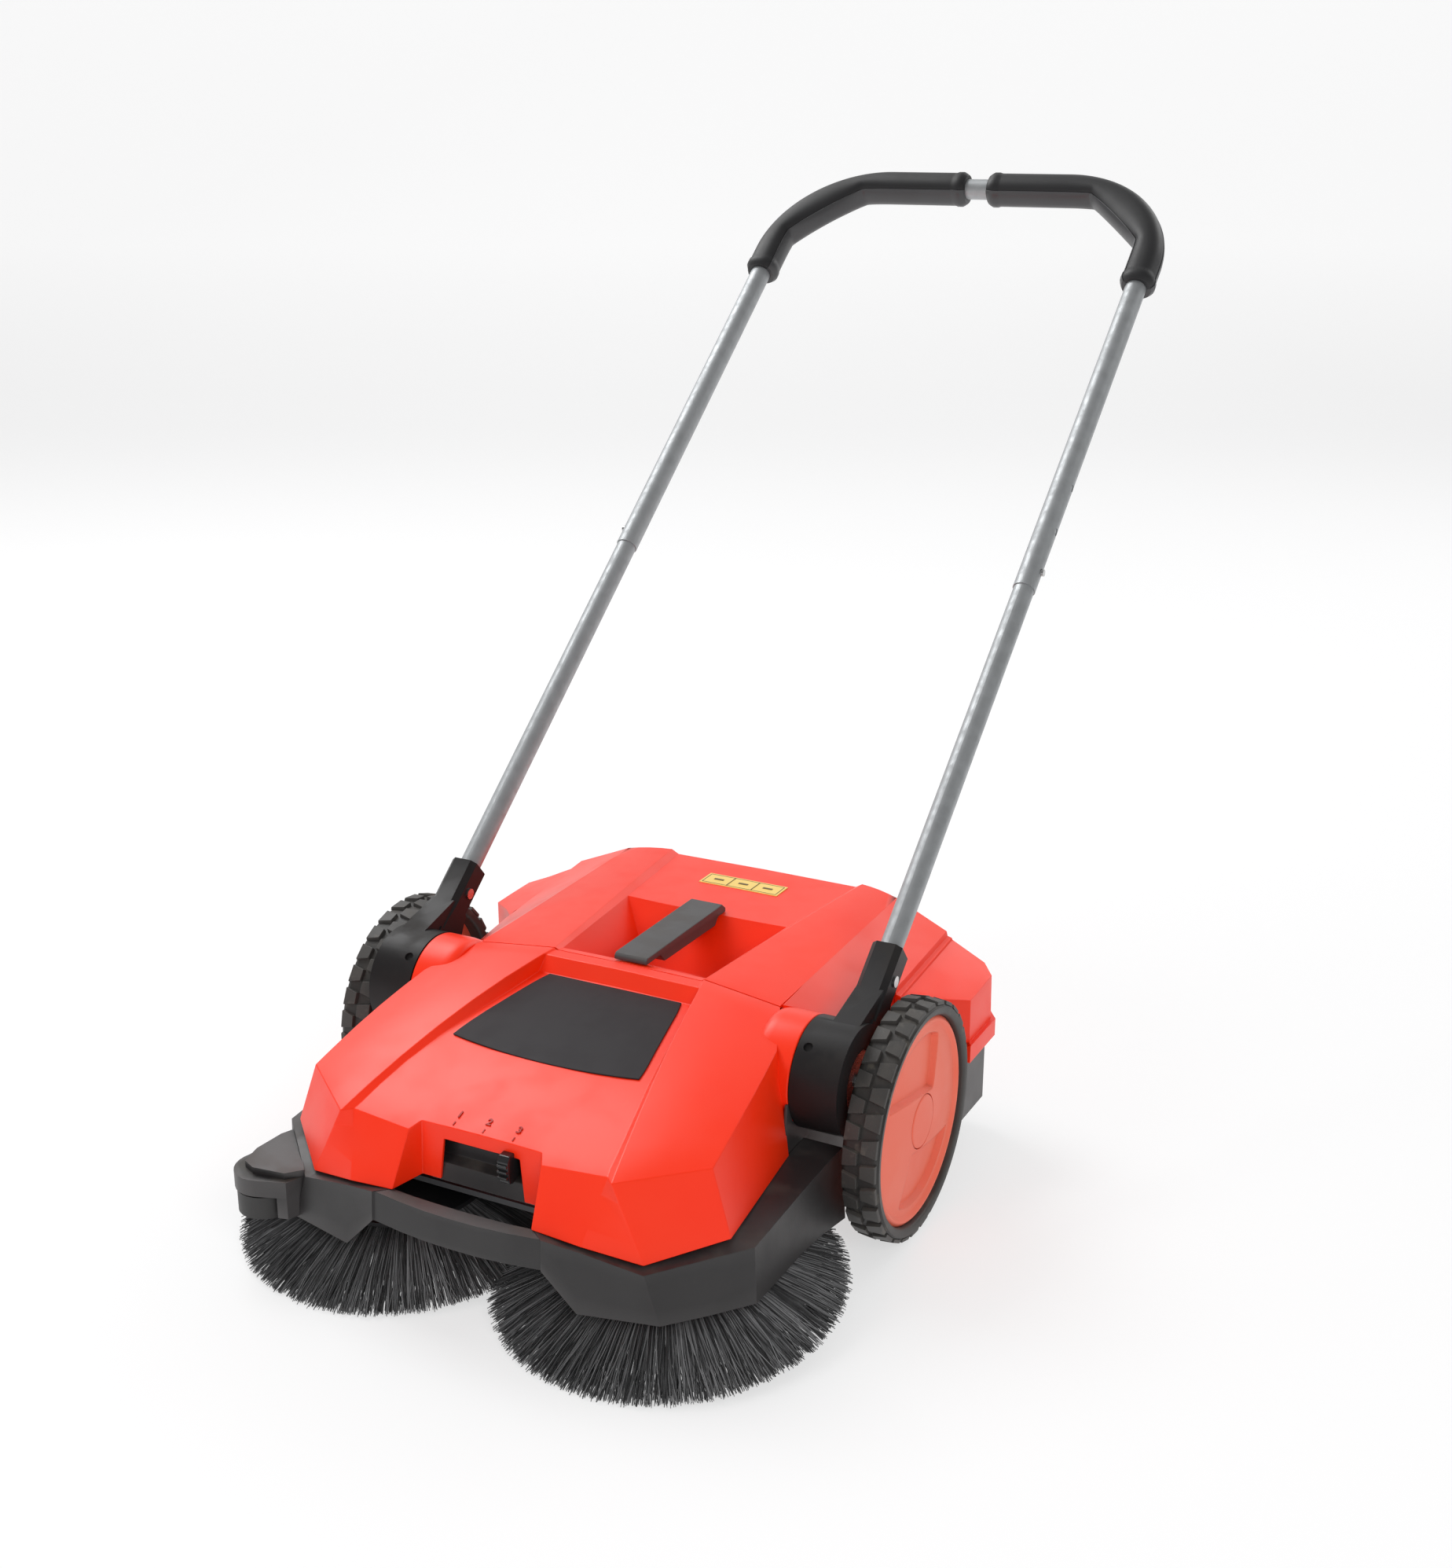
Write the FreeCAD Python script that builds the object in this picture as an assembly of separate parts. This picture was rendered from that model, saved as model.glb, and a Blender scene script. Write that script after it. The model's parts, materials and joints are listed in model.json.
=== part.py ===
import FreeCAD, Part
import math
import os
from FreeCAD import Vector

# Push sweeper with two disc brushes, a sweeping roller, a pull-out hopper and a folding handle.
# The model is drawn with the wheel axle at y = 0 and the ground at z = 0, front towards -Y, and is moved
# along Y as the last step, so that the row's origin is the bottom centre of the whole machine.
# Sizes are millimetres.

# Fits: running, pressed and sliding clearance on a radius
RUN = 0.06
PRESS = 0.02
SLIDE = 0.08

# Wheels and axle
WHEEL_R = 105.5
TYRE_IN, TYRE_OUT = 236.0, 269.0
RIM_R = 92.0
AXLE_R = 6.0
AXLE_Z = WHEEL_R
HUB_R = 14.0
HUB_SEAT_R = HUB_R + 4.0
SHAFT_R = 5.0

# Belt drive: pulley radii and where each belt runs along X
BIG_PULLEY_R = 33.0
ROLLER_DRIVE_R = 20.0
BELT_T = 2.0
BRUSH_BELT = (170.0, 180.0)
ROLLER_BELT = (158.5, 165.5)
FLANGE = 1.0

# Brushes: the spindle leans forward, so the front of the ring meets the ground
BRUSH_X, BRUSH_Y = 127.3, -192.3
BRUSH_TILT = 7.0
BRUSH_LIFT = 18.0
RING_R = 126.0
RING_IN_R = 58.0
DISC_R = 75.0
SPINDLE_R = 6.0
CROWN_R = 30.0
PINION_R = 15.0
CROWN_TEETH, PINION_TEETH = 30, 15
TOOTH_HALF = 1.5
TOOTH_ROOT, TOOTH_TIP = 1.3, 0.8
SHAFT_H = 92.0
SMALL_PULLEY_R = 11.0
BUSH_R = SPINDLE_R + 3.0
BUSH_FOOT, BUSH_H = 44.5, 24.0

# Guide roller at the front left corner
GUIDE_X, GUIDE_Y, GUIDE_R = -206.0, -287.0, 24.0
GUIDE_PIN_R = 4.0

# Sweeping roller
ROLLER_Y, ROLLER_Z = 8.0, 47.0
ROLLER_R = 38.0
ROLLER_HALF = 128.0
CORE_R = 14.0
ROLLER_PULLEY_R = 13.0

# Handle: pivot on the side of the machine, tubes rising to the rear
PIVOT_Y, PIVOT_Z = -55.4, 160.3
HANDLE_X = 216.5
HANDLE_ANGLE = 39.56
DRUM_R = 47.8
DRUM_IN, DRUM_OUT = 189.3, 232.0
COWL_IN = 152.0
BOSS_R, BOSS_END = 20.0, 228.0
SCREW_R, WASHER_R = 2.5, 26.0
SCREW_HOLE_X, SCREW_HOLE_R = 198.4, 4.0
LOWER_TUBE_R, UPPER_TUBE_R = 10.0, 11.0
TUBE_WALL = 1.0
SOCKET_TOP = 122.0
SOCKET_IN, SOCKET_OUT = 203.0, 230.5
SOCKET_HALF = 14.5
BOLT_AT, BOLT_R = 94.4, 3.0
SEAM = 518.0
LOWER_TUBE_END = 692.0
BUTTON_AT = 540.0
SPARE_HOLES = (590.0, 645.0)
BUTTON_R = 3.4
HANDLE_LEN = 1061.0
CORNER_R = 112.0
GRIP_START = 918.0
GRIP_GAP = 13.0
GRIP_R = 17.0

# Body shells
WALL = 3.0
SEAM_Y = -35.0
SKIN_GAP = 0.6
GROUND_GAP = 48.0
PLATE_IN, PLATE_OUT = 183.0, 186.0
NOTCH_Y = -268.0


def box(x0, x1, y0, y1, z0, z1):
    return Part.makeBox(x1 - x0, y1 - y0, z1 - z0, Vector(x0, y0, z0))


def prism_x(points, x0, x1):
    """Extrude a (y, z) outline along X."""
    wire = Part.makePolygon([Vector(x0, y, z) for y, z in points + points[:1]])
    return Part.Face(wire).extrude(Vector(x1 - x0, 0, 0))


def prism_y(points, y0, y1):
    """Extrude an (x, z) outline along Y."""
    wire = Part.makePolygon([Vector(x, y0, z) for x, z in points + points[:1]])
    return Part.Face(wire).extrude(Vector(0, y1 - y0, 0))


def prism_z(points, z0, z1):
    """Extrude an (x, y) outline along Z."""
    wire = Part.makePolygon([Vector(x, y, z0) for x, y in points + points[:1]])
    return Part.Face(wire).extrude(Vector(0, 0, z1 - z0))


def both_sides(half):
    """Close a right-hand outline, given from the middle outwards and back, with its mirror image."""
    return half + [(-x, v) for x, v in reversed(half) if x > 0]


def rod_x(radius, x0, x1, y, z):
    return Part.makeCylinder(radius, x1 - x0, Vector(x0, y, z), Vector(1, 0, 0))


def tube_x(outer, inner, x0, x1, y, z):
    return rod_x(outer, x0, x1, y, z).cut(rod_x(inner, x0, x1, y, z))


def mirrored(shape):
    return shape.mirror(Vector(0, 0, 0), Vector(1, 0, 0))


def outside(p, q, r, away, shift=0.0):
    """A large block beyond the plane through p, q, r, on the side that away points to."""
    normal = (Vector(*q) - Vector(*p)).cross(Vector(*r) - Vector(*p))
    normal.normalize()
    if normal.dot(Vector(*away)) < 0:
        normal = normal * -1
    side = 900.0
    block = Part.makeBox(side, side, side, Vector(-side / 2, -side / 2, 0))
    block.Placement = FreeCAD.Placement(
        Vector(*p) + normal * shift, FreeCAD.Rotation(Vector(0, 0, 1), normal))
    return block


def half_of(block, right=True):
    """The part of a block that lies on one side of the middle plane."""
    reach = 600.0
    keep = box(0, reach, -reach, reach, -reach, reach)
    return block.common(keep if right else mirrored(keep))


def skirt_top(raise_by):
    """The space below the top surface of the skirt, raised or lowered by a clearance or a wall."""
    low = -200.0
    step = -262.0 - raise_by
    front = [(0, low), (0, 103), (79, 103), (160, 88), (240, 88), (240, low)]
    front = [(x, z + raise_by if z > 0 else z) for x, z in front]
    side = [(step, low), (step, 91), (-230, 97), (-73, 106), (120, 106), (120, low)]
    side = [(y, z + raise_by if z > 0 else z) for y, z in side]
    return prism_y(both_sides(front), -345, step).fuse(prism_x(side, -240, 240))


def hood_form(inset):
    """Outer form of the front hood, or its hollow when inset is the wall."""
    t = inset
    plan = [(0, -306 + t), (110, -306 + t), (160 - t, -292 + t), (214 - t, -242 + t), (194 - t, -100),
            (189 - t, -60), (189 - t, 4 - t), (151, 4 - t), (151, SEAM_Y - t), (0, SEAM_Y - t)]
    form = prism_z(both_sides(plan), 80, 230)
    ridge_front = (127, -281, 152)
    corner = (189, -234, 158)
    low_corner = (156, -284, 91)
    cowl_side = (175, -95, 193)
    cuts = [
        outside((75.6, -34, 211), ridge_front, corner, (0, 0, 1), -t),
        outside(ridge_front, corner, low_corner, (0, -1, 0), -t),
        outside(ridge_front, (108, -297, 101), low_corner, (0, -1, 0), -t),
        outside(corner, cowl_side, (199, -172, 105), (1, 0, 0), -t),
    ]
    for block in cuts:
        form = form.cut(half_of(block))
        form = form.cut(mirrored(half_of(block)))
    tooth = outside((119, -271, 152), (62.5, -277, 148), (65.4, -299, 105), (0, -1, 0), -t)
    front_outline = both_sides([(0, 80), (104 + t, 80), (120 + t, 160), (120 + t, 260), (0, 260)])
    front = prism_y(front_outline, -400, -150)
    form = form.cut(half_of(tooth).common(front)).cut(mirrored(half_of(tooth).common(front)))
    panel = [(-340, 130 - t), (-271, 152.6 - t), (-225, 167.5 - t), (-173, 180.5 - t), (-115, 189 - t),
             (-58, 195 - t), (-46 - t, 208.5 - t), (SEAM_Y + 5, 209.5 - t), (SEAM_Y + 5, 260), (-340, 260)]
    lane = both_sides([(0, -340), (135 + t, -340), (121 + t, -272), (100 + t, -175), (84 + t, -95),
                       (76 + t, SEAM_Y + 5), (0, SEAM_Y + 5)])
    form = form.cut(prism_x(panel, -200, 200).common(prism_z(lane, 90, 280)))
    cowl = rod_x(DRUM_R - t, COWL_IN, 188.0, PIVOT_Y, PIVOT_Z)
    form = form.fuse([cowl, mirrored(cowl)])
    return form.removeSplitter()


def front_hood():
    """Front hood with its notch and adjuster window: one half is drawn and mirrored."""
    right = box(0, 300, -400, 100, 0, 300)
    shell = hood_form(0).common(right).cut(hood_form(WALL)).cut(skirt_top(SKIN_GAP))
    corner_x, mouth_x = 57, 65.4
    notch_plan = [(-10, -340), (78, -340), (mouth_x, -299), (corner_x, NOTCH_Y), (-10, NOTCH_Y)]
    notch = prism_z(notch_plan, 60, 260)
    notch_back = box(0, corner_x + WALL, NOTCH_Y, NOTCH_Y + WALL, 106, 147)
    cheek_plan = [(corner_x, NOTCH_Y), (mouth_x, -299), (mouth_x + WALL, -299), (corner_x + WALL, NOTCH_Y)]
    cheek = prism_z(cheek_plan, 106, 149).common(hood_form(0))
    window = prism_y([(-10, 106), (40, 106), (36, 142), (-10, 142)], -275, -255)
    shell = shell.cut(notch).fuse([notch_back, cheek]).cut(window)
    bore = rod_x(DRUM_R - WALL, 130, 190, PIVOT_Y, PIVOT_Z)
    open_rear = box(-10, 186, SEAM_Y - WALL - 1, 10, 60, 152)
    below_drum = box(180, 240, -108, 10, 60, PIVOT_Z)
    half = largest(shell.cut([bore, open_rear, below_drum]))
    return half.fuse(mirrored(half)).removeSplitter()


def largest(shape):
    """The biggest solid of a shape, so that no loose sliver is kept."""
    return max(shape.Solids, key=lambda solid: solid.Volume)


def nameplate():
    plan = [(-68.5, -59), (68.5, -59), (93, -173.5), (50, -179), (0, -181), (-50, -179), (-93, -173.5)]
    surface = [(-185, 178.9), (-173, 181.0), (-115, 189.5), (-58.5, 195.5), (-58.5, 197.0), (-115, 191.0),
               (-173, 182.5), (-185, 180.4)]
    return prism_z(plan, 150, 230).common(prism_x(surface, -110, 110))


def adjuster_panel():
    panel = box(-52, 52, -264, -260, 104.5, 150)
    slot = box(-34, 34, -265, -259, 120, 127)
    return panel.cut(slot)


def adjuster_knob():
    centre = 28.0
    head = box(centre - 5, centre + 5, -279, -264.5, 113, 139)
    grip_cut = box(centre - 2, centre + 2, -280, -276, 112, 140)
    stem = box(centre - 4, centre + 4, -264.5, -258, 120.5, 126.5)
    foot = box(centre - 7, centre + 7, -259.5, -256, 117, 130)
    return head.cut(grip_cut).fuse([stem, foot]).removeSplitter()


def skirt_plan(t):
    """Outline of the skirt; t moves it inwards."""
    bow = [(0, -312.5 + t), (25, -311.8 + t), (50, -309.5 + t)]
    rear = -64 + 8 * t
    return bow + [(79, -307 + t), (168 - 0.5 * t, -291 + t), (224 - t, -231 + 0.4 * t), (225 - t, rear),
                  (0, rear)]


def skirt_frame():
    """Dark lower frame: one half is drawn and mirrored."""
    right = box(0, 300, -400, 100, 0, 150)
    body = prism_z(both_sides(skirt_plan(0)), 30, 106).common(skirt_top(0)).common(right)
    hollow = prism_z(both_sides(skirt_plan(WALL)), 20, 110).common(skirt_top(-WALL))
    throat = [(-10, -300), (60, -297), (84, -284), (150, -275), (204, -230), (190, -112), (188, -50),
              (-10, -50)]
    bottom = [(-340, 0), (-340, GROUND_GAP), (-120, GROUND_GAP), (-96, 40), (-50, 36), (-50, 0)]
    arch = [(-10, 20), (109, 20), (109, 48), (72, 82), (-10, 77)]
    body = body.cut([hollow, prism_z(throat, 70, 130), box(-10, 189, -70, -50, 20, 130)])
    body = body.cut([prism_x(bottom, -240, 240), prism_y(arch, -340, -255)])
    tie = box(186.1, 223, -69, -62, 42, 104.5)
    half = largest(body.fuse(tie))
    return half.fuse(mirrored(half)).removeSplitter()


def guide_rod(radius):
    return Part.makeCylinder(radius, 24, Vector(GUIDE_X, GUIDE_Y, 45))


def guide_arm():
    """Arm round the guide roller: its tip follows the roller a little way outside it."""
    reach = GUIDE_R + 1.5
    tip = [(GUIDE_X - reach * math.cos(math.radians(a)), GUIDE_Y - reach * math.sin(math.radians(a)))
           for a in range(-20, 111, 13)]
    plan = [(-224.5, -243)] + tip + [(-172, -302), (-172, -291.6), (-224.2, -231.8)]
    top = prism_z(plan, 69, 84)
    crown = [(-222, -246), (-224, -275), (-219, -296), (-206, -302), (-176, -298), (-172, -291.6),
             (-222, -234)]
    cap = prism_z(crown, 84, 90)
    foot = prism_z([(-181, -304), (-172, -302), (-172, -291.6), (-181, -283)], 50, 69)
    pin = guide_rod(GUIDE_PIN_R)
    skirt = prism_z(both_sides(skirt_plan(-0.2)), 20, 110)
    return top.fuse([cap, foot, pin]).cut(skirt).removeSplitter()


def guide_roller():
    wheel = Part.makeCylinder(GUIDE_R, 20, Vector(GUIDE_X, GUIDE_Y, 47))
    return wheel.cut(guide_rod(GUIDE_PIN_R + RUN))


def side_plate():
    """Right-hand side plate: carries the axle housing, the roller shaft and the handle boss."""
    outline = [(-70, 40), (-70, 112), (-92, 150), (-82, 190), (-55, 202), (-28, 190), (-15, 150), (60, 118),
               (60, 36), (-30, 36)]
    plate = prism_x(outline, PLATE_IN, PLATE_OUT)
    cowl_r = DRUM_R - WALL - SKIN_GAP
    inner_cowl = rod_x(cowl_r, 182, 188.6, PIVOT_Y, PIVOT_Z)
    ring = tube_x(cowl_r, BOSS_R - WALL, PLATE_IN, 188.6, PIVOT_Y, PIVOT_Z)
    below = box(180, 190, -120, 120, 0, 105)
    shoulder = prism_x([(-70, 100), (-70, 118), (50, 118), (60, 100)], 180, 190)
    plate = plate.common(inner_cowl.fuse([below, shoulder])).fuse(ring)
    plate = plate.fuse(rod_x(BOSS_R, PLATE_OUT, BOSS_END, PIVOT_Y, PIVOT_Z))
    plate = plate.cut(rod_x(HUB_R + 2, 180, 190, 0, AXLE_Z))
    plate = plate.cut(rod_x(SHAFT_R + RUN, 180, 190, ROLLER_Y, ROLLER_Z))
    plate = plate.cut(rod_x(SCREW_R, 212, BOSS_END + 1, PIVOT_Y, PIVOT_Z))
    return plate.removeSplitter()


def pivot_screw():
    washer = rod_x(WASHER_R, BOSS_END + 0.1, 229.6, PIVOT_Y, PIVOT_Z)
    head = rod_x(6, 229.6, 231.8, PIVOT_Y, PIVOT_Z)
    shank = rod_x(SCREW_R, 213, BOSS_END + 1, PIVOT_Y, PIVOT_Z)
    return washer.fuse([head, shank]).removeSplitter()


def axle():
    return rod_x(AXLE_R, -260, 260, 0, AXLE_Z)


def axle_bracket():
    """Inner bracket that holds the axle: a plate that ends in the cross rail below it."""
    plate = prism_x([(-16, 94), (-16, 118), (16, 118), (16, 94)], 149, 153)
    return plate.cut(rod_x(AXLE_R + PRESS, 148, 154, 0, AXLE_Z))


def axle_rail():
    """Cross rail in front of the axle that ties the two side plates and the axle brackets together."""
    end = PLATE_IN - 0.1
    rail = box(-end, end, -20, -16.1, 145, 160)
    legs = [box(x, x + 4, -20, -16.1, 94, 145) for x in (149.0, -153.0)]
    return rail.fuse(legs).removeSplitter()


def belt(x0, x1, y1, z1, r1, y2, z2, r2, thickness):
    """Flat belt round two pulleys."""
    def band(grow):
        a, b = Vector(0, y1, z1), Vector(0, y2, z2)
        span = b - a
        lean = math.asin((r1 - r2) / span.Length)
        along = math.atan2(span.z, span.y)
        loop = []
        for turn in (1, -1):
            angle = along + turn * (math.pi / 2 - lean)
            out = Vector(0, math.cos(angle), math.sin(angle))
            loop.append((a + out * (r1 + grow), b + out * (r2 + grow)))
        points = [loop[0][0], loop[0][1], loop[1][1], loop[1][0]]
        quad = prism_x([(p.y, p.z) for p in points], x0, x1)
        return quad.fuse([rod_x(r1 + grow, x0, x1, y1, z1), rod_x(r2 + grow, x0, x1, y2, z2)])
    return band(thickness + RUN).cut(band(RUN)).removeSplitter()


def spindle_point(height):
    lean = math.radians(BRUSH_TILT)
    return Vector(BRUSH_X, BRUSH_Y - height * math.sin(lean), BRUSH_LIFT + height * math.cos(lean))


def on_spindle(shape):
    """Place a shape drawn round +Z at the origin onto the right-hand brush spindle."""
    place = FreeCAD.Placement(spindle_point(0), FreeCAD.Rotation(Vector(1, 0, 0), BRUSH_TILT))
    placed = shape.copy()
    placed.Placement = place
    return placed


def turned(profile):
    """Revolve an (r, z) outline round Z."""
    wire = Part.makePolygon([Vector(r, 0, z) for r, z in profile + profile[:1]])
    return Part.Face(wire).revolve(Vector(0, 0, 0), Vector(0, 0, 1), 360)


def bristle_ring():
    tip = -(BRUSH_LIFT - RING_R * math.sin(math.radians(BRUSH_TILT))) / math.cos(math.radians(BRUSH_TILT))
    return on_spindle(turned([(RING_IN_R, 22), (RING_R, tip), (RING_R, tip + 7), (DISC_R - 1, 33.9),
                              (RING_IN_R, 33.9)]))


def brush_disc():
    bore = SPINDLE_R + PRESS
    return on_spindle(turned([(bore, 34), (DISC_R, 34), (DISC_R, 38), (40, 41), (12, 41), (12, 43.5),
                              (bore, 43.5)]))


def brush_spindle():
    return on_spindle(turned([(0, 30), (SPINDLE_R, 30), (SPINDLE_R, 75), (0, 75)]))


def crown_gear():
    base = SHAFT_H - PINION_R - TOOTH_HALF
    bore = SPINDLE_R + PRESS
    ring = turned([(bore, base - 6), (CROWN_R + 2, base - 6), (CROWN_R + 2, base), (CROWN_R - 2, base),
                   (CROWN_R - 4, base - 3), (bore, base - 3)])
    top = base + 2 * TOOTH_HALF - 0.2
    profile = [(-TOOTH_ROOT, base - 1), (TOOTH_ROOT, base - 1), (TOOTH_TIP, top), (-TOOTH_TIP, top)]
    wire = Part.makePolygon([Vector(CROWN_R - 2, y, z) for y, z in profile + profile[:1]])
    tooth = Part.Face(wire).extrude(Vector(4, 0, 0))
    # A gap between two teeth faces the pinion, which has a tooth pointing straight down
    step = 360.0 / CROWN_TEETH
    teeth = []
    for k in range(CROWN_TEETH):
        one = tooth.copy()
        one.rotate(Vector(0, 0, 0), Vector(0, 0, 1), 180 + (k + 0.5) * step)
        teeth.append(one)
    return on_spindle(ring.fuse(teeth).removeSplitter())


def bevel_pinion():
    centre = spindle_point(SHAFT_H)
    x0, x1 = BRUSH_X - CROWN_R - 3, BRUSH_X - CROWN_R + 3
    core = rod_x(PINION_R - TOOTH_HALF - 0.3, x0, x1, centre.y, centre.z)
    inner, outer = PINION_R - 3, PINION_R + TOOTH_HALF - 0.2
    profile = [(-TOOTH_ROOT, -inner), (TOOTH_ROOT, -inner), (TOOTH_TIP, -outer), (-TOOTH_TIP, -outer)]
    teeth = []
    for k in range(PINION_TEETH):
        one = prism_x(profile, x0, x1)
        one.rotate(Vector(0, 0, 0), Vector(1, 0, 0), BRUSH_TILT + k * 360.0 / PINION_TEETH)
        one.translate(Vector(0, centre.y, centre.z))
        teeth.append(one)
    gear = core.fuse(teeth)
    return gear.cut(rod_x(SHAFT_R + PRESS, x0 - 1, x1 + 1, centre.y, centre.z)).removeSplitter()


def cross_shaft():
    centre = spindle_point(SHAFT_H)
    return rod_x(SHAFT_R, 78, 182, centre.y, centre.z)


def cross_pulley():
    centre = spindle_point(SHAFT_H)
    x0, x1 = 169.0, 181.0
    drum = rod_x(SMALL_PULLEY_R, x0, x1, centre.y, centre.z)
    flanges = [rod_x(SMALL_PULLEY_R + 3.5, x, x + FLANGE, centre.y, centre.z) for x in (x0 - FLANGE, x1)]
    bore = rod_x(SHAFT_R + PRESS, x0 - 2, x1 + 2, centre.y, centre.z)
    return drum.fuse(flanges).cut(bore).removeSplitter()


def drive_belt():
    centre = spindle_point(SHAFT_H)
    return belt(*BRUSH_BELT, 0, AXLE_Z, BIG_PULLEY_R, centre.y, centre.z, SMALL_PULLEY_R, BELT_T)


def brush_carrier():
    """Frame that hangs on the axle and carries both brush spindles and cross shafts."""
    shaft = spindle_point(SHAFT_H)
    half_width = 167
    plate = box(-half_width, half_width, -228, -168, 70, 75)
    parts = []
    for side in (1, -1):
        arm = prism_x([(-172, 70), (-172, 84), (-10, 117), (0, 118), (10, 114), (13, 105.5), (8, 95),
                       (-4, 93), (-164, 70)], 141, 147)
        boss = on_spindle(Part.makeCylinder(14, BUSH_H, Vector(0, 0, BUSH_FOOT)))
        inner = box(82, 90, shaft.y - 9, shaft.y + 9, 74, 119)
        outer = box(162.5, half_width, shaft.y - 9, shaft.y + 9, 74, 119)
        for piece in (arm, boss, inner, outer):
            parts.append(piece if side > 0 else mirrored(piece))
    frame = plate.fuse(parts)
    for side in (1, -1):
        bore = on_spindle(Part.makeCylinder(BUSH_R + PRESS, 60, Vector(0, 0, 30)))
        frame = frame.cut(bore if side > 0 else mirrored(bore))
        shaft_bore = rod_x(SHAFT_R + RUN, 80, 170, shaft.y, shaft.z)
        frame = frame.cut(shaft_bore if side > 0 else mirrored(shaft_bore))
    return frame.cut(rod_x(AXLE_R + RUN, -150, 150, 0, AXLE_Z)).removeSplitter()


def spindle_bush():
    sleeve = Part.makeCylinder(BUSH_R, BUSH_H, Vector(0, 0, BUSH_FOOT))
    return on_spindle(sleeve.cut(Part.makeCylinder(SPINDLE_R + RUN, 30, Vector(0, 0, 42))))


def tyre():
    half = (TYRE_OUT - TYRE_IN) / 2
    profile = [(RIM_R, -half), (WHEEL_R - 5, -half), (WHEEL_R, -half + 5), (WHEEL_R, half - 5),
               (WHEEL_R - 5, half), (RIM_R, half)]
    return on_axle(turned(profile), (TYRE_IN + TYRE_OUT) / 2)


def on_axle(shape, x):
    """Place a shape turned round +Z onto the axle line, with its +Z towards +X."""
    placed = shape.copy()
    placed.Placement = FreeCAD.Placement(Vector(x, 0, AXLE_Z), FreeCAD.Rotation(Vector(0, 1, 0), 90))
    return placed


def wheel_disc():
    back, face, rim_face = 18, 24, 31
    seat = RIM_R - PRESS
    web = turned([(HUB_SEAT_R, back), (84, back), (84, 0), (seat, 0), (seat, rim_face), (86, rim_face),
                  (84, 27), (78, face), (HUB_SEAT_R, face)])
    floor = face - 4
    pocket = turned([(30, floor), (72, floor), (72, 30), (30, 30)])
    sector = Part.makeBox(90, 90, 40)
    sector.rotate(Vector(0, 0, 0), Vector(0, 0, 1), 200)
    opposite = sector.copy()
    opposite.rotate(Vector(0, 0, 0), Vector(0, 0, 1), 180)
    return on_axle(web.cut(pocket.common(sector)).cut(pocket.common(opposite)).removeSplitter(), TYRE_IN)


def hub_cap():
    top, foot = 31, 24.1
    cap = turned([(0, top), (17, top), (HUB_SEAT_R, top - 1), (HUB_SEAT_R, foot), (15, foot), (0, top - 0.4)])
    return on_axle(cap, TYRE_IN)


def wheel_hub():
    """Sleeve that turns on the axle: wheel seat outside, brush and roller pulleys inside."""
    bore, edge, seat = AXLE_R + RUN, BIG_PULLEY_R + 4, HUB_SEAT_R - PRESS
    x0, x1 = BRUSH_BELT
    profile = [(bore, 158), (ROLLER_DRIVE_R, 158), (ROLLER_DRIVE_R, 166), (HUB_R, 166), (HUB_R, x0 - FLANGE),
               (edge, x0 - FLANGE), (edge, x0), (BIG_PULLEY_R, x0), (BIG_PULLEY_R, x1), (edge, x1),
               (edge, x1 + FLANGE), (HUB_R, x1 + FLANGE), (HUB_R, 254), (seat, 254), (seat, 260), (bore, 260)]
    return on_axle(turned(profile), 0)


def roller_core():
    core = rod_x(CORE_R, -ROLLER_HALF, ROLLER_HALF, ROLLER_Y, ROLLER_Z)
    shaft = rod_x(SHAFT_R, -187, 187, ROLLER_Y, ROLLER_Z)
    return core.fuse(shaft).removeSplitter()


def roller_bristles():
    half = ROLLER_HALF - 2
    return tube_x(ROLLER_R, CORE_R + PRESS, -half, half, ROLLER_Y, ROLLER_Z)


def roller_pulley():
    drum = rod_x(ROLLER_PULLEY_R, 157, 167, ROLLER_Y, ROLLER_Z)
    return drum.cut(rod_x(SHAFT_R + PRESS, 156, 168, ROLLER_Y, ROLLER_Z))


def roller_belt():
    return belt(*ROLLER_BELT, 0, AXLE_Z, ROLLER_DRIVE_R, ROLLER_Y, ROLLER_Z, ROLLER_PULLEY_R, BELT_T)


def lid_form(t):
    """Outer form of the hopper lid, or its hollow when t is the wall."""
    front = SEAM_Y + 0.8 + t
    core_plan = [(0, front), (150.4, front), (150.4, 5 + t), (186 - t, 5 + t), (201 - t, 62 + t),
                 (202 - t, 217 - t), (147, 224 - t), (98, 236 - t), (0, 236 - t)]
    core = prism_z(both_sides(core_plan), 100, 240)
    slope = outside((151, -40, 204), (147, 220, 209), (201, 150, 181.5), (0, 0, 1), -t)
    top = outside((75.6, -34, 211), (105, 235, 210), (151, -40, 204.5), (0, 0, 1), -t)
    for block in (half_of(slope), half_of(top)):
        core = core.cut([block, mirrored(block)])
    shelf_plan = [(196, 96 + t), (205, 102 + t), (254.8 - t, 140 + t), (254.4 - t, 196 - 0.4 * t),
                  (240 - 0.7 * t, 218 - t), (196, 222 - t)]
    shelf = prism_z(shelf_plan, 100, 240)
    tilt = outside((201, 100, 174), (201, 215, 174), (254.5, 150, 158.5), (0, 0, 1), -t)
    shelf = shelf.cut(tilt)
    rear = prism_z(both_sides([(0, 150), (200, 150), (200, 217 - t), (147, 224 - t), (98, 236 - t),
                               (0, 236 - t)]), 100, 150)
    return core.fuse([shelf, mirrored(shelf), rear]).removeSplitter()


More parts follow.
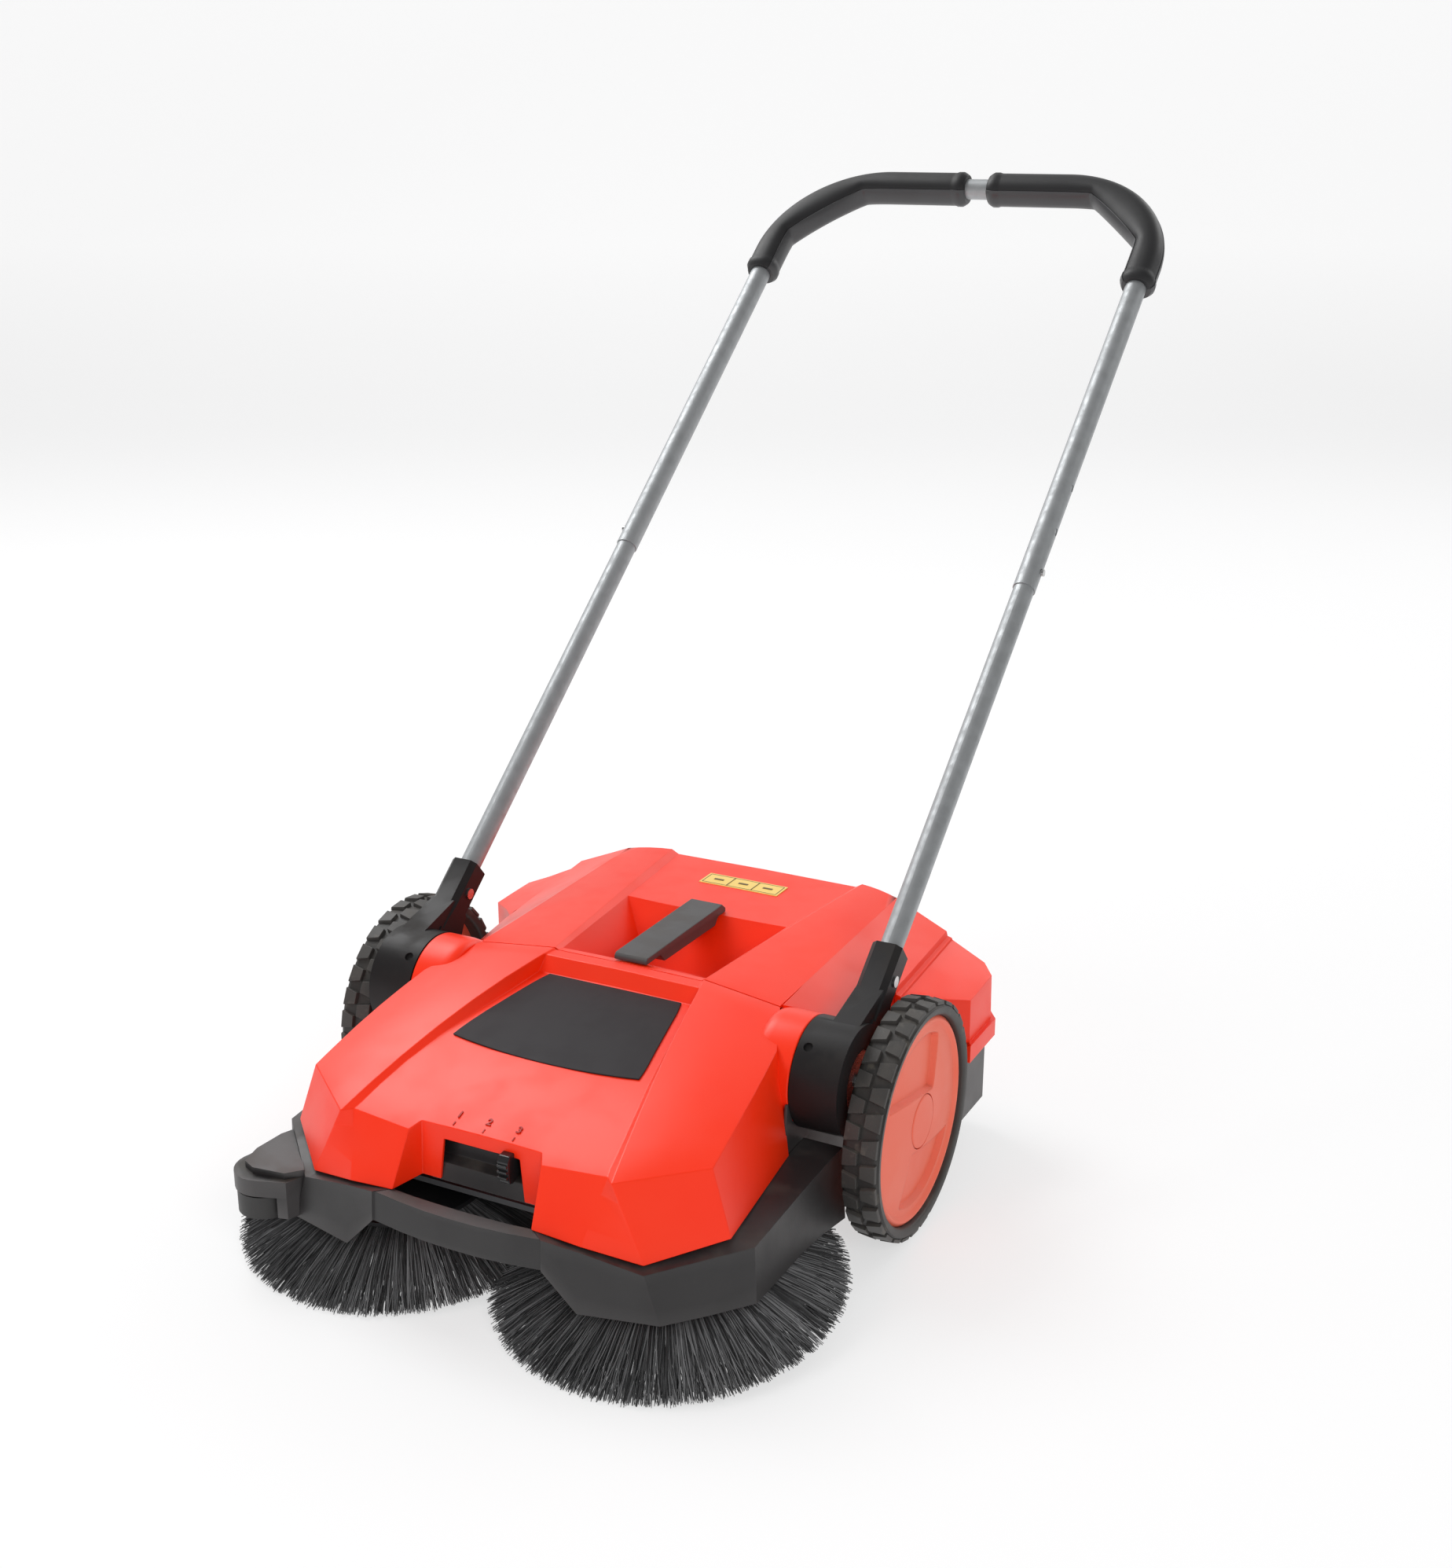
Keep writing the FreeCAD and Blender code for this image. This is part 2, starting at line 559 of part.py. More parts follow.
def recess(grow):
    """Finger recess under the carry handle, with sloping walls."""
    rims = []
    for z, near_x, far_x, front, back in ((226, 88, 100, -36, 114), (150, 58, 58, 0, 84)):
        corners = both_sides([(0, front - grow), (near_x + grow, front - grow), (far_x + grow, back + grow),
                              (0, back + grow)])
        rims.append(Part.makePolygon([Vector(x, y, z - grow) for x, y in corners + corners[:1]]))
    return Part.makeLoft(rims, True, True)


def hopper_lid():
    above = box(-300, 300, -60, 300, 211, 300)
    ledge = box(-74, 74, -60, -20, 209, 300)
    lid = lid_form(0).cut([above, ledge]).cut(lid_form(WALL).cut(box(-300, 300, -60, 300, 205.5, 300)))
    lid = lid.cut([box(-205, 205, -60, 128, 60, 146), box(-300, 300, -60, 300, 60, 100)])
    pan = recess(WALL).common(lid_form(0)).cut([above, ledge])
    lid = lid.fuse(pan).cut(recess(0))
    rear_panel = prism_z(both_sides([(0, 95), (84, 95), (99, 240), (0, 240)]), 206.5, 230)
    lid = lid.cut(rear_panel)
    floor = prism_z(both_sides([(0, 110), (88, 110), (100, 232), (0, 232)]), 203.6, 206.5)
    lid = lid.fuse(floor.cut(recess(0)))
    plan = [(0, 131), (259, 131), (259, 200), (246, 226), (150, 232), (100, 240), (0, 240)]
    inner = [(0, 134), (252, 134), (252, 198), (240, 214), (146, 221), (96, 233), (0, 233)]
    flange = prism_z(both_sides(plan), 99, 117).cut(prism_z(both_sides(inner), 90, 130))
    flange = flange.cut(box(-205, 205, 100, 150, 90, 130))
    return largest(lid.fuse(flange).removeSplitter())


def bin_form(t):
    wide = both_sides([(0, 136 + t), (250 - t, 136 + t), (250 - t, 197 - 0.4 * t), (238 - t, 212 - t),
                       (145, 219 - t), (95, 231 - t), (0, 231 - t)])
    narrow = both_sides([(0, 52), (134 - t, 52), (134 - t, 140 + t), (0, 140 + t)])
    return prism_z(wide, 34 + t, 98.5).fuse(prism_z(narrow, 34 + t, 98.5)).removeSplitter()


def hopper_bin():
    tub = bin_form(0).cut(bin_form(WALL))
    sill = box(-134, 134, 52, 55, 34, 44)
    foot_chamfer = prism_x([(40, 20), (40, 40), (52, 40), (60, 34), (66, 30), (60, 20)], -300, 300)
    rim = prism_z(both_sides([(0, 136), (250, 136), (250, 197), (238, 212), (145, 219), (95, 231), (0, 231)]),
                  95.5, 98.5)
    mouth = both_sides([(0, 60), (120, 60), (120, 150), (236, 150), (236, 190), (0, 190)])
    keep_open = prism_z(mouth, 90, 100)
    return largest(tub.fuse([sill, rim]).cut(keep_open).cut(foot_chamfer).removeSplitter())


def bin_lip():
    """Rubber lip that leads the dirt over the sill into the bin."""
    return prism_x([(51.9, 44.1), (46, 20), (48.5, 19.5), (54.9, 44.1)], -128, 128).cut(
        prism_x([(51.95, 20), (51.95, 44.05), (60, 44.05), (60, 20)], -140, 140))


def carry_handle():
    side = [(-31, 210.3), (-31, 214), (-28, 216.5), (112, 216.5), (119, 211), (119, 207), (104, 207),
            (98, 200), (2, 202), (-6, 210.3)]
    return prism_x(side, -16.5, 16.5)


def info_plate():
    return prism_z([(-42, 175), (42, 175), (42, 200), (-42, 200)], 206.6, 207.4)


def to_handle(shape):
    """Place a shape drawn with the tube along +Y from the pivot onto the real handle line."""
    placed = shape.copy()
    placed.Placement = FreeCAD.Placement(
        Vector(0, PIVOT_Y, PIVOT_Z), FreeCAD.Rotation(Vector(1, 0, 0), HANDLE_ANGLE))
    return placed


def along_tube(radius, start, end):
    return Part.makeCylinder(radius, end - start, Vector(HANDLE_X, start, 0), Vector(0, 1, 0))


def bolt_bore():
    return rod_x(BOLT_R + PRESS, 200, 240, BOLT_AT, 0)


def handle_bracket():
    """Dark moulding: a drum round the pivot boss and a socket for the lower tube."""
    drum = rod_x(DRUM_R, DRUM_IN, DRUM_OUT, 0, 0)
    neck_plan = [(204, 20), (204, 60), (SOCKET_IN, 74), (SOCKET_IN, SOCKET_TOP), (SOCKET_OUT, SOCKET_TOP),
                 (SOCKET_OUT, 20)]
    neck = prism_z(neck_plan, -SOCKET_HALF, SOCKET_HALF)
    edge = 5.0
    for x, dx in ((SOCKET_IN, 1), (SOCKET_OUT, -1)):
        for z, dz in ((SOCKET_HALF, -1), (-SOCKET_HALF, 1)):
            corner = [(x, z), (x + dx * edge, z), (x, z + dz * edge)]
            neck = neck.cut(prism_y(corner, 50, SOCKET_TOP + 1))
    web = prism_x([(30, -36), (30, 36), (78, 14), (78, -14)], 205, 229)
    body = drum.fuse([neck, web])
    body = body.cut(along_tube(LOWER_TUBE_R + PRESS, 58, SOCKET_TOP + 1))
    body = body.cut(rod_x(BOSS_R + RUN, DRUM_IN - 1, BOSS_END, 0, 0))
    body = body.cut(rod_x(WASHER_R + 1, BOSS_END, DRUM_OUT + 1, 0, 0))
    body = body.cut(tube_x(DRUM_R - 4, BOSS_R + 6, 192, 224, 0, 0).cut(box(186, 230, 0, 60, -60, 60)))
    screw_hole = Part.makeCylinder(SCREW_HOLE_R, 12, Vector(SCREW_HOLE_X, 0, DRUM_R - 3))
    body = body.cut(screw_hole)
    body = body.cut(bolt_bore())
    return to_handle(body.removeSplitter())


def bracket_bolt():
    shank = rod_x(BOLT_R, SOCKET_IN, SOCKET_OUT, BOLT_AT, 0)
    head = rod_x(BOLT_R + 2, SOCKET_IN - 2, SOCKET_IN, BOLT_AT, 0)
    nut = rod_x(BOLT_R + 2, SOCKET_OUT, DRUM_OUT, BOLT_AT, 0)
    return to_handle(shank.fuse([head, nut]).removeSplitter())


def lower_tube():
    pipe = along_tube(LOWER_TUBE_R, 60, LOWER_TUBE_END)
    pipe = pipe.cut(along_tube(LOWER_TUBE_R - TUBE_WALL, 59, LOWER_TUBE_END + 1))
    return to_handle(pipe.cut([bolt_bore(), button_hole(BUTTON_AT)]))


def button_hole(along):
    return rod_x(BUTTON_R + 0.3, HANDLE_X, 240, along, 0)


def snap_button():
    head = rod_x(BUTTON_R, HANDLE_X + 6.5, HANDLE_X + 13.5, BUTTON_AT, 0)
    base = rod_x(5, HANDLE_X + 6, HANDLE_X + 7, BUTTON_AT, 0)
    return to_handle(head.fuse(base).removeSplitter())


def handle_path(from_y):
    """Centre line of the upper handle from one straight leg, over the bar, to the other leg."""
    x, top, r = HANDLE_X, HANDLE_LEN, CORNER_R
    bend = r * (1 - math.sqrt(0.5))
    right = Part.LineSegment(Vector(x, from_y, 0), Vector(x, top - r, 0)).toShape()
    right_arc = Part.Arc(
        Vector(x, top - r, 0), Vector(x - bend, top - bend, 0), Vector(x - r, top, 0)).toShape()
    bar = Part.LineSegment(Vector(x - r, top, 0), Vector(r - x, top, 0)).toShape()
    left_arc = Part.Arc(
        Vector(r - x, top, 0), Vector(bend - x, top - bend, 0), Vector(-x, top - r, 0)).toShape()
    left = Part.LineSegment(Vector(-x, top - r, 0), Vector(-x, from_y, 0)).toShape()
    return Part.Wire([right, right_arc, bar, left_arc, left])


def swept(radius, from_y):
    ring = Part.Wire(Part.makeCircle(radius, Vector(HANDLE_X, from_y, 0), Vector(0, 1, 0)))
    return handle_path(from_y).makePipeShell([ring], True, True)


def upper_handle():
    pipe = swept(UPPER_TUBE_R, SEAM).cut(swept(LOWER_TUBE_R + SLIDE, SEAM))
    for along in (BUTTON_AT,) + SPARE_HOLES:
        hole = button_hole(along)
        pipe = pipe.cut([hole, mirrored(hole)])
    return to_handle(pipe)


def grip(upper):
    """One half of the right-hand grip, split along the plane of the handle."""
    sleeve = swept(GRIP_R, GRIP_START).cut(swept(UPPER_TUBE_R + PRESS, GRIP_START))
    sleeve = sleeve.common(box(GRIP_GAP, 300, GRIP_START, 1200, -40, 40))
    half = box(0, 300, 800, 1200, 0.05, 40) if upper else box(0, 300, 800, 1200, -40, -0.05)
    return to_handle(largest(sleeve.common(half)))


def pair(name, shape):
    return {name + "_right": shape, name + "_left": mirrored(shape)}


def assembly():
    nodes = {
        "skirt_frame": skirt_frame(), "front_hood": front_hood(), "nameplate": nameplate(),
        "adjuster_panel": adjuster_panel(), "adjuster_knob": adjuster_knob(), "guide_arm": guide_arm(),
        "guide_roller": guide_roller(), "axle": axle(), "axle_rail": axle_rail(),
        "brush_carrier": brush_carrier(), "roller_core": roller_core(), "roller_bristles": roller_bristles(),
        "roller_pulley": roller_pulley(), "roller_belt": roller_belt(), "hopper_lid": hopper_lid(),
        "hopper_bin": hopper_bin(), "bin_lip": bin_lip(), "carry_handle": carry_handle(),
        "info_plate": info_plate(), "upper_handle": upper_handle(),
    }
    for name, shape in (("axle_brackets", axle_bracket()), ("pivot_screws", pivot_screw()),
                        ("spindle_bushes", spindle_bush()), ("bracket_bolts", bracket_bolt())):
        nodes[name] = Part.makeCompound([shape, mirrored(shape)])
    for name, shape in (("side_plate", side_plate()), ("tyre", tyre()), ("wheel_disc", wheel_disc()),
                        ("hub_cap", hub_cap()), ("wheel_hub", wheel_hub()), ("drive_belt", drive_belt()),
                        ("cross_shaft", cross_shaft()), ("cross_pulley", cross_pulley()),
                        ("bevel_pinion", bevel_pinion()), ("crown_gear", crown_gear()),
                        ("brush_spindle", brush_spindle()), ("brush_disc", brush_disc()),
                        ("bristle_ring", bristle_ring()), ("handle_bracket", handle_bracket()),
                        ("lower_tube", lower_tube()), ("snap_button", snap_button()),
                        ("grip_upper", grip(True)), ("grip_lower", grip(False))):
        nodes.update(pair(name, shape))
    return nodes


def export(nodes):
    """Move everything so that the origin is the middle of the whole length, and write one file a node."""
    rear = PIVOT_Y + HANDLE_LEN * math.cos(math.radians(HANDLE_ANGLE)) + GRIP_R
    front = spindle_point(0).y - RING_R * math.cos(math.radians(BRUSH_TILT))
    shift = Vector(0, -(rear + front) / 2, 0)
    os.makedirs("parts", exist_ok=True)
    for name, shape in nodes.items():
        moved = shape.copy()
        moved.translate(shift)
        moved.exportStep(os.path.join("parts", name + ".step"))


export(assembly())
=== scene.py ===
"""Looks of a push sweeper with two disc brushes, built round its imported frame.

Points are written in millimetres from the wheel axle's line (y) and the ground (z), and at() turns them into
the frame's metres. The right half is drawn, and the left half is its mirror image.
"""

import json
import math
import random

import bmesh
import bpy
from mathutils import Matrix, Vector

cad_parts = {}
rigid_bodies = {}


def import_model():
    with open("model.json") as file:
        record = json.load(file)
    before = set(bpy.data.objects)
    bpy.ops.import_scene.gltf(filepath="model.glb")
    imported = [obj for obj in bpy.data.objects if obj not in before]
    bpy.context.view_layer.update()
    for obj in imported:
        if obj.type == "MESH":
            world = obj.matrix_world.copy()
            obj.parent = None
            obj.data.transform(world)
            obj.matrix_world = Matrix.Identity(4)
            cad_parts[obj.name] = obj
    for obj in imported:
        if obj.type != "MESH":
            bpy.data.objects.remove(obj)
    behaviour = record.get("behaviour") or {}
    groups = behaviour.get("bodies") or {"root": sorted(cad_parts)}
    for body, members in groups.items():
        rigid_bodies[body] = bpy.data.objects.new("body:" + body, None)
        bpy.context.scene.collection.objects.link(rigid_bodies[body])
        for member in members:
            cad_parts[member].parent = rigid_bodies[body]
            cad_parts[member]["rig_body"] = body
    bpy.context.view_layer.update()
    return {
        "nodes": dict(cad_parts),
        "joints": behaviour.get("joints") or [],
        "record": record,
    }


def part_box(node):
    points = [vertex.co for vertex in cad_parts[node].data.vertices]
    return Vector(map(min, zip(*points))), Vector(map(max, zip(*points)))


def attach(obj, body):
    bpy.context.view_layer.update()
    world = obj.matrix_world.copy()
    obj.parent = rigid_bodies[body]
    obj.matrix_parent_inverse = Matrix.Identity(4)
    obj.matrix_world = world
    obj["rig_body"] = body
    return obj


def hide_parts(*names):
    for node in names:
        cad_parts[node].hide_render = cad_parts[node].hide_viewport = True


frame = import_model()

MM = 0.001
axle_low, axle_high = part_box("axle")
AXLE_Y = (axle_low.y + axle_high.y) / 2
AXLE_H = (axle_low.z + axle_high.z) / 2 / MM
tyre_low, tyre_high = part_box("tyre_right")
TYRE_IN, TYRE_OUT, TYRE_R = tyre_low.x / MM, tyre_high.x / MM, AXLE_H
WALL = 3.0
FLAT_ANGLE = 0.6

JOINTS = {joint["name"]: joint for joint in frame["joints"]}
PIVOT = Vector(JOINTS["handle_tilt"]["pos_m"])
ALONG = Vector(JOINTS["handle_telescope"]["axis"])
LIFT = Vector((0, -ALONG.z, ALONG.y))
PIVOT_Y, PIVOT_Z = (PIVOT.y - AXLE_Y) / MM, PIVOT.z / MM
SIDES = (("right", 1), ("left", -1))


def at(x, y, z):
    return Vector((x * MM, AXLE_Y + y * MM, z * MM))


def on_handle(x, along, lift):
    """A point on the handle: sideways, up the tube from the pivot, and square to the tube."""
    return PIVOT + Vector((x * MM, 0, 0)) + ALONG * along * MM + LIFT * lift * MM


def mix(a, b, t):
    return a + (b - a) * t


def between(p, q, t):
    return tuple(mix(a, b, t) for a, b in zip(p, q))


# ---------------------------------------------------------------- materials


class Finish:
    """A procedural material, built up in steps on one shader."""

    def __init__(self, name, colour, roughness, metallic=0.0):
        self.material = bpy.data.materials.new(name)
        self.material.use_nodes = True
        self.tree = self.material.node_tree
        self.shader = self.tree.nodes["Principled BSDF"]
        self.shader.inputs["Metallic"].default_value = metallic
        self.coordinates = self.node("ShaderNodeTexCoord").outputs["Object"]
        start = self.node("ShaderNodeRGB")
        start.outputs[0].default_value = (*colour, 1)
        self.colour = start.outputs[0]
        value = self.node("ShaderNodeValue")
        value.outputs[0].default_value = roughness
        self.roughness = value.outputs[0]
        self.normal = None
        self.material.diffuse_color = (*colour, 1)

    def node(self, kind, **settings):
        made = self.tree.nodes.new(kind)
        for key, value in settings.items():
            setattr(made, key, value)
        return made

    def join(self, source, target):
        self.tree.links.new(source, target)

    def noise(self, size, detail=3.0, stretch=(1, 1, 1)):
        """Noise whose features are about size metres across, drawn out along an axis by stretch."""
        scale = self.node("ShaderNodeMapping")
        scale.inputs["Scale"].default_value = [1 / s for s in stretch]
        self.join(self.coordinates, scale.inputs["Vector"])
        made = self.node("ShaderNodeTexNoise")
        made.inputs["Scale"].default_value = 1 / size
        made.inputs["Detail"].default_value = detail
        self.join(scale.outputs[0], made.inputs["Vector"])
        return made.outputs["Fac"]

    def spread(self, socket, low, high, start=0.0, end=1.0):
        made = self.node("ShaderNodeMapRange")
        for key, value in zip(("From Min", "From Max", "To Min", "To Max"), (low, high, start, end)):
            made.inputs[key].default_value = value
        self.join(socket, made.inputs["Value"])
        return made.outputs[0]

    def times(self, a, b):
        made = self.node("ShaderNodeMath", operation="MULTIPLY")
        self.join(a, made.inputs[0])
        self.join(b, made.inputs[1])
        return made.outputs[0]

    def tint(self, factor, colour):
        made = self.node("ShaderNodeMix", data_type="RGBA")
        self.join(factor, made.inputs["Factor"])
        self.join(self.colour, made.inputs["A"])
        made.inputs["B"].default_value = (*colour, 1)
        self.colour = made.outputs["Result"]

    def roughen(self, factor, roughness):
        made = self.node("ShaderNodeMix", data_type="FLOAT")
        self.join(factor, made.inputs["Factor"])
        self.join(self.roughness, made.inputs["A"])
        made.inputs["B"].default_value = roughness
        self.roughness = made.outputs["Result"]

    def bump(self, height, depth, strength=1.0):
        made = self.node("ShaderNodeBump")
        made.inputs["Distance"].default_value = depth
        made.inputs["Strength"].default_value = strength
        self.join(height, made.inputs["Height"])
        if self.normal:
            self.join(self.normal, made.inputs["Normal"])
        self.normal = made.outputs["Normal"]

    def facing_up(self):
        geometry = self.node("ShaderNodeNewGeometry")
        split = self.node("ShaderNodeSeparateXYZ")
        self.join(geometry.outputs["Normal"], split.inputs[0])
        return self.spread(split.outputs["Z"], 0.2, 0.95)

    def edges(self, low=0.515, high=0.56):
        """Where the surface is sharply convex, as on a worn edge; on the dark plastic it also carries a
        painted highlight along the edge.
        """
        geometry = self.node("ShaderNodeNewGeometry")
        return self.spread(geometry.outputs["Pointiness"], low, high)

    def set(self, **inputs):
        for key, value in inputs.items():
            self.shader.inputs[key.replace("_", " ")].default_value = value
        return self

    def done(self):
        self.join(self.colour, self.shader.inputs["Base Color"])
        self.join(self.roughness, self.shader.inputs["Roughness"])
        if self.normal:
            self.join(self.normal, self.shader.inputs["Normal"])
        return self.material


DUST = (0.30, 0.26, 0.21)


def moulded(name, colour, roughness, grain, pale, dust=0.0):
    """Injection-moulded plastic: fine grain, cloudy paler patches, cloudy gloss, fine scratches, and dust on
    top if asked.
    """
    made = Finish(name, colour, roughness)
    made.tint(made.spread(made.noise(0.09, 4), 0.35, 0.75, 0, 0.35), pale)
    made.roughen(made.spread(made.noise(0.035, 5), 0.45, 0.7, 0, 0.5), roughness + 0.14)
    scratches = made.spread(made.noise(0.004, 2, (1, 14, 1)), 0.70, 0.78, 0, 0.25)
    made.tint(scratches, pale)
    if dust:
        cloud = made.spread(made.noise(0.03, 8), 0.45, 0.75)
        film = made.times(cloud, made.facing_up())
        made.tint(made.spread(film, 0, 1, 0, dust), DUST)
        made.roughen(film, 0.75)
    made.bump(made.noise(0.0009, 2), grain)
    made.bump(made.noise(0.06, 2), 0.0004, 0.35)
    return made


def shell_red():
    made = moulded("shell_red", (0.93, 0.026, 0.0015), 0.36, 0.00003, (0.95, 0.048, 0.010))
    made.set(Specular_IOR_Level=0.42)
    return made.done()


def wheel_red():
    made = moulded("wheel_red", (0.82, 0.130, 0.070), 0.46, 0.00004, (0.84, 0.25, 0.17), 0.25)
    made.set(Specular_IOR_Level=0.4)
    return made.done()


def dark_plastic():
    made = moulded("dark_plastic", (0.017, 0.0155, 0.016), 0.42, 0.00005, (0.030, 0.028, 0.028), 0.16)
    # paler sharp edges: partly wear, partly a painted highlight along the edges
    made.tint(made.spread(made.edges(), 0, 1, 0, 0.35), (0.14, 0.13, 0.13))
    return made.done()


def bracket_black():
    made = moulded("bracket_black", (0.0135, 0.0125, 0.013), 0.40, 0.00004, (0.024, 0.022, 0.022), 0.05)
    made.set(Specular_IOR_Level=0.24)
    return made.done()


def black_plastic():
    return moulded("black_plastic", (0.014, 0.014, 0.015), 0.36, 0.00003, (0.03, 0.03, 0.031)).done()


def plate_dark():
    made = moulded("plate_dark", (0.021, 0.018, 0.020), 0.50, 0.00002, (0.028, 0.024, 0.027))
    made.set(Specular_IOR_Level=0.16)
    return made.done()


def plate_yellow():
    return moulded("plate_yellow", (0.88, 0.60, 0.13), 0.4, 0.00001, (0.92, 0.70, 0.28)).done()


def mark_red():
    return moulded("mark_red", (0.40, 0.010, 0.003), 0.5, 0.00001, (0.44, 0.014, 0.005)).done()


def slider_black():
    return moulded("slider_black", (0.012, 0.012, 0.013), 0.2, 0.00002, (0.03, 0.03, 0.03)).done()


def print_brown():
    return moulded("print_brown", (0.12, 0.075, 0.02), 0.5, 0.00001, (0.2, 0.13, 0.05)).done()


def rubber_black():
    return moulded("rubber_black", (0.020, 0.019, 0.019), 0.5, 0.00008, (0.05, 0.048, 0.046), 0.2).done()


def tyre_black():
    made = moulded("tyre_black", (0.024, 0.022, 0.021), 0.52, 0.00012, (0.045, 0.042, 0.039), 0.22)
    made.tint(made.spread(made.noise(0.012, 6), 0.58, 0.72, 0, 0.35), (0.16, 0.14, 0.11))
    made.tint(made.spread(made.edges(0.52, 0.60), 0, 1, 0, 0.3), (0.16, 0.15, 0.14))
    return made.done()


def metal(name, colour, roughness, mottle, drawn, metallic=1.0):
    """Plated metal with drawing marks along it and a crystalline mottle."""
    made = Finish(name, colour, roughness, metallic)
    made.tint(made.spread(made.noise(0.012, 6), 0.4, 0.7, 0, mottle), tuple(c * 0.45 for c in colour))
    shine = tuple(min(1, c * 1.3) for c in colour)
    made.tint(made.spread(made.noise(0.003, 3), 0.55, 0.75, 0, mottle), shine)
    made.roughen(made.spread(made.noise(0.008, 5), 0.4, 0.7), roughness + 0.16)
    made.bump(made.noise(0.0012, 3, drawn), 0.00006)
    return made.done()


def tube_metal():
    return metal("tube_metal", (0.40, 0.415, 0.425), 0.44, 0.22, (1, 22, 18), 0.62)


def steel():
    return metal("steel", (0.62, 0.62, 0.62), 0.26, 0.25, (6, 1, 1))


def gear_iron():
    return metal("gear_iron", (0.22, 0.22, 0.225), 0.42, 0.4, (1, 1, 1))


def painted_steel():
    return moulded("painted_steel", (0.05, 0.05, 0.054), 0.38, 0.00006, (0.09, 0.09, 0.095), 0.2).done()


def grip_black(name="grip_black", colour=(0.014, 0.014, 0.015), roughness=0.5):
    return moulded(name, colour, roughness, 0.00007, tuple(1.7 * c for c in colour)).done()


def bristle():
    """Nylon filament: each strand takes its own tone at random, and paler patches along its length are a
    painted highlight where it would catch light.
    """
    made = Finish("bristle", (0.032, 0.032, 0.033), 0.34)
    strand_shade = made.node("ShaderNodeNewGeometry").outputs["Random Per Island"]
    made.tint(made.spread(strand_shade, 0.20, 1.0, 0, 0.95), (0.235, 0.235, 0.24))
    # paler patches along the strands: painted highlight
    made.tint(made.spread(made.noise(0.009, 2), 0.45, 0.7, 0, 0.3), (0.07, 0.07, 0.07))
    made.roughen(made.noise(0.004, 2), 0.5)
    made.bump(made.noise(0.0012, 2), 0.00002)
    return made.done()


MATERIALS = {make.__name__: make() for make in (
    shell_red, wheel_red, dark_plastic, black_plastic, plate_dark, plate_yellow, rubber_black, tyre_black,
    tube_metal, steel, gear_iron, painted_steel, grip_black, bristle)}
PRINT = print_brown()
MARK = mark_red()
GLOSS = slider_black()
BRACKET = bracket_black()
GRIP_SATIN = grip_black("grip_satin", (0.040, 0.040, 0.042), 0.34)
SLOT_OF = {row["node"]: row["material_slot"] for row in frame["record"]["subparts"]}


# ---------------------------------------------------------------- mesh tools


def add_object(name, vertices, faces, weld=0.00003):
    """A mesh object with doubled points welded and its faces turned outwards."""
    mesh = bpy.data.meshes.new(name)
    mesh.from_pydata(vertices, [], faces)
    work = bmesh.new()
    work.from_mesh(mesh)
    if weld:
        bmesh.ops.remove_doubles(work, verts=work.verts, dist=weld)
        bmesh.ops.dissolve_degenerate(work, edges=work.edges, dist=weld)
    bmesh.ops.recalc_face_normals(work, faces=work.faces)
    work.to_mesh(mesh)
    work.free()
    made = bpy.data.objects.new(name, mesh)
    bpy.context.scene.collection.objects.link(made)
    return made


def face_away(piece, inside):
    """Turns an open sheet so that its faces look away from a point."""
    centre = Vector(inside)
    total = sum(p.area * p.normal.dot((p.center - centre).normalized()) for p in piece.data.polygons)
    if total < 0:
        piece.data.flip_normals()


def thicken(piece, wall):
    made = piece.modifiers.new("wall", "SOLIDIFY")
    made.thickness = wall * MM
    made.offset = -1
    made.use_even_offset = True
    made.thickness_clamp = 1.5


def soften(piece, width, angle=22, segments=3):
    """Rounds every edge sharper than angle and smooths the shading."""
    if width:
        made = piece.modifiers.new("edge", "BEVEL")
        made.width = width * MM
        made.segments = segments
        made.limit_method = "ANGLE"
        made.angle_limit = math.radians(angle)
        made.use_clamp_overlap = True
        made.miter_outer = "MITER_ARC"
    piece.data.shade_smooth()
    normals = piece.modifiers.new("normals", "WEIGHTED_NORMAL")
    normals.keep_sharp = True


def dress(piece, body, slot, material=None, stands_for=()):
    piece.data.materials.clear()
    piece.data.materials.append(material or MATERIALS[slot])
    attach(piece, body)
    if stands_for:
        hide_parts(*stands_for)
    return piece


class Sheet:
    """Faces given by their corners in millimetres; edges that meet are welded."""

    def __init__(self, place=at, mirrored=True):
        self.place = place
        self.signs = (1, -1) if mirrored else (1,)
        self.vertices = []
        self.faces = []

    def face(self, *corners):
        for sign in self.signs:
            first = len(self.vertices)
            self.vertices += [self.place(sign * x, y, z) for x, y, z in corners]
            self.faces.append(list(range(first, first + len(corners))))

    def patch(self, rows):
        for one, two in zip(rows, rows[1:]):
            for k in range(len(one) - 1):
                self.face(one[k], one[k + 1], two[k + 1], two[k])

    def ruled(self, one, two, count=4):
        """Rows of faces between two lines of points."""
        self.patch([[between(p, q, k / count) for p, q in zip(one, two)] for k in range(count + 1)])

    def build(self, name, inside=None):
        made = add_object(name, self.vertices, self.faces)
        if inside:
            face_away(made, self.place(*inside))
        return made


def line(p, q, count):
    return [between(p, q, k / count) for k in range(count + 1)]


def crowned(p, q, rise, count=4):
    """A line of points that rises a little above straight in its middle."""
    points = enumerate(line(p, q, count))
    return [(x, y, z + 4 * rise * (k / count) * (1 - k / count)) for k, (x, y, z) in points]


def lathe(name, profile, place, count=96):
    """Turns a closed outline of (radius, along) points; place puts (radius, along, angle) in the frame."""
    vertices = []
    faces = []
    size = len(profile)
    for k in range(count):
        angle = 2 * math.pi * k / count
        vertices += [place(radius, along, angle) for radius, along in profile]
        for j in range(size):
            a, b = k * size + j, k * size + (j + 1) % size
            c, d = (k + 1) % count * size + (j + 1) % size, (k + 1) % count * size + j
            faces.append([a, b, c, d])
    return add_object(name, vertices, faces)


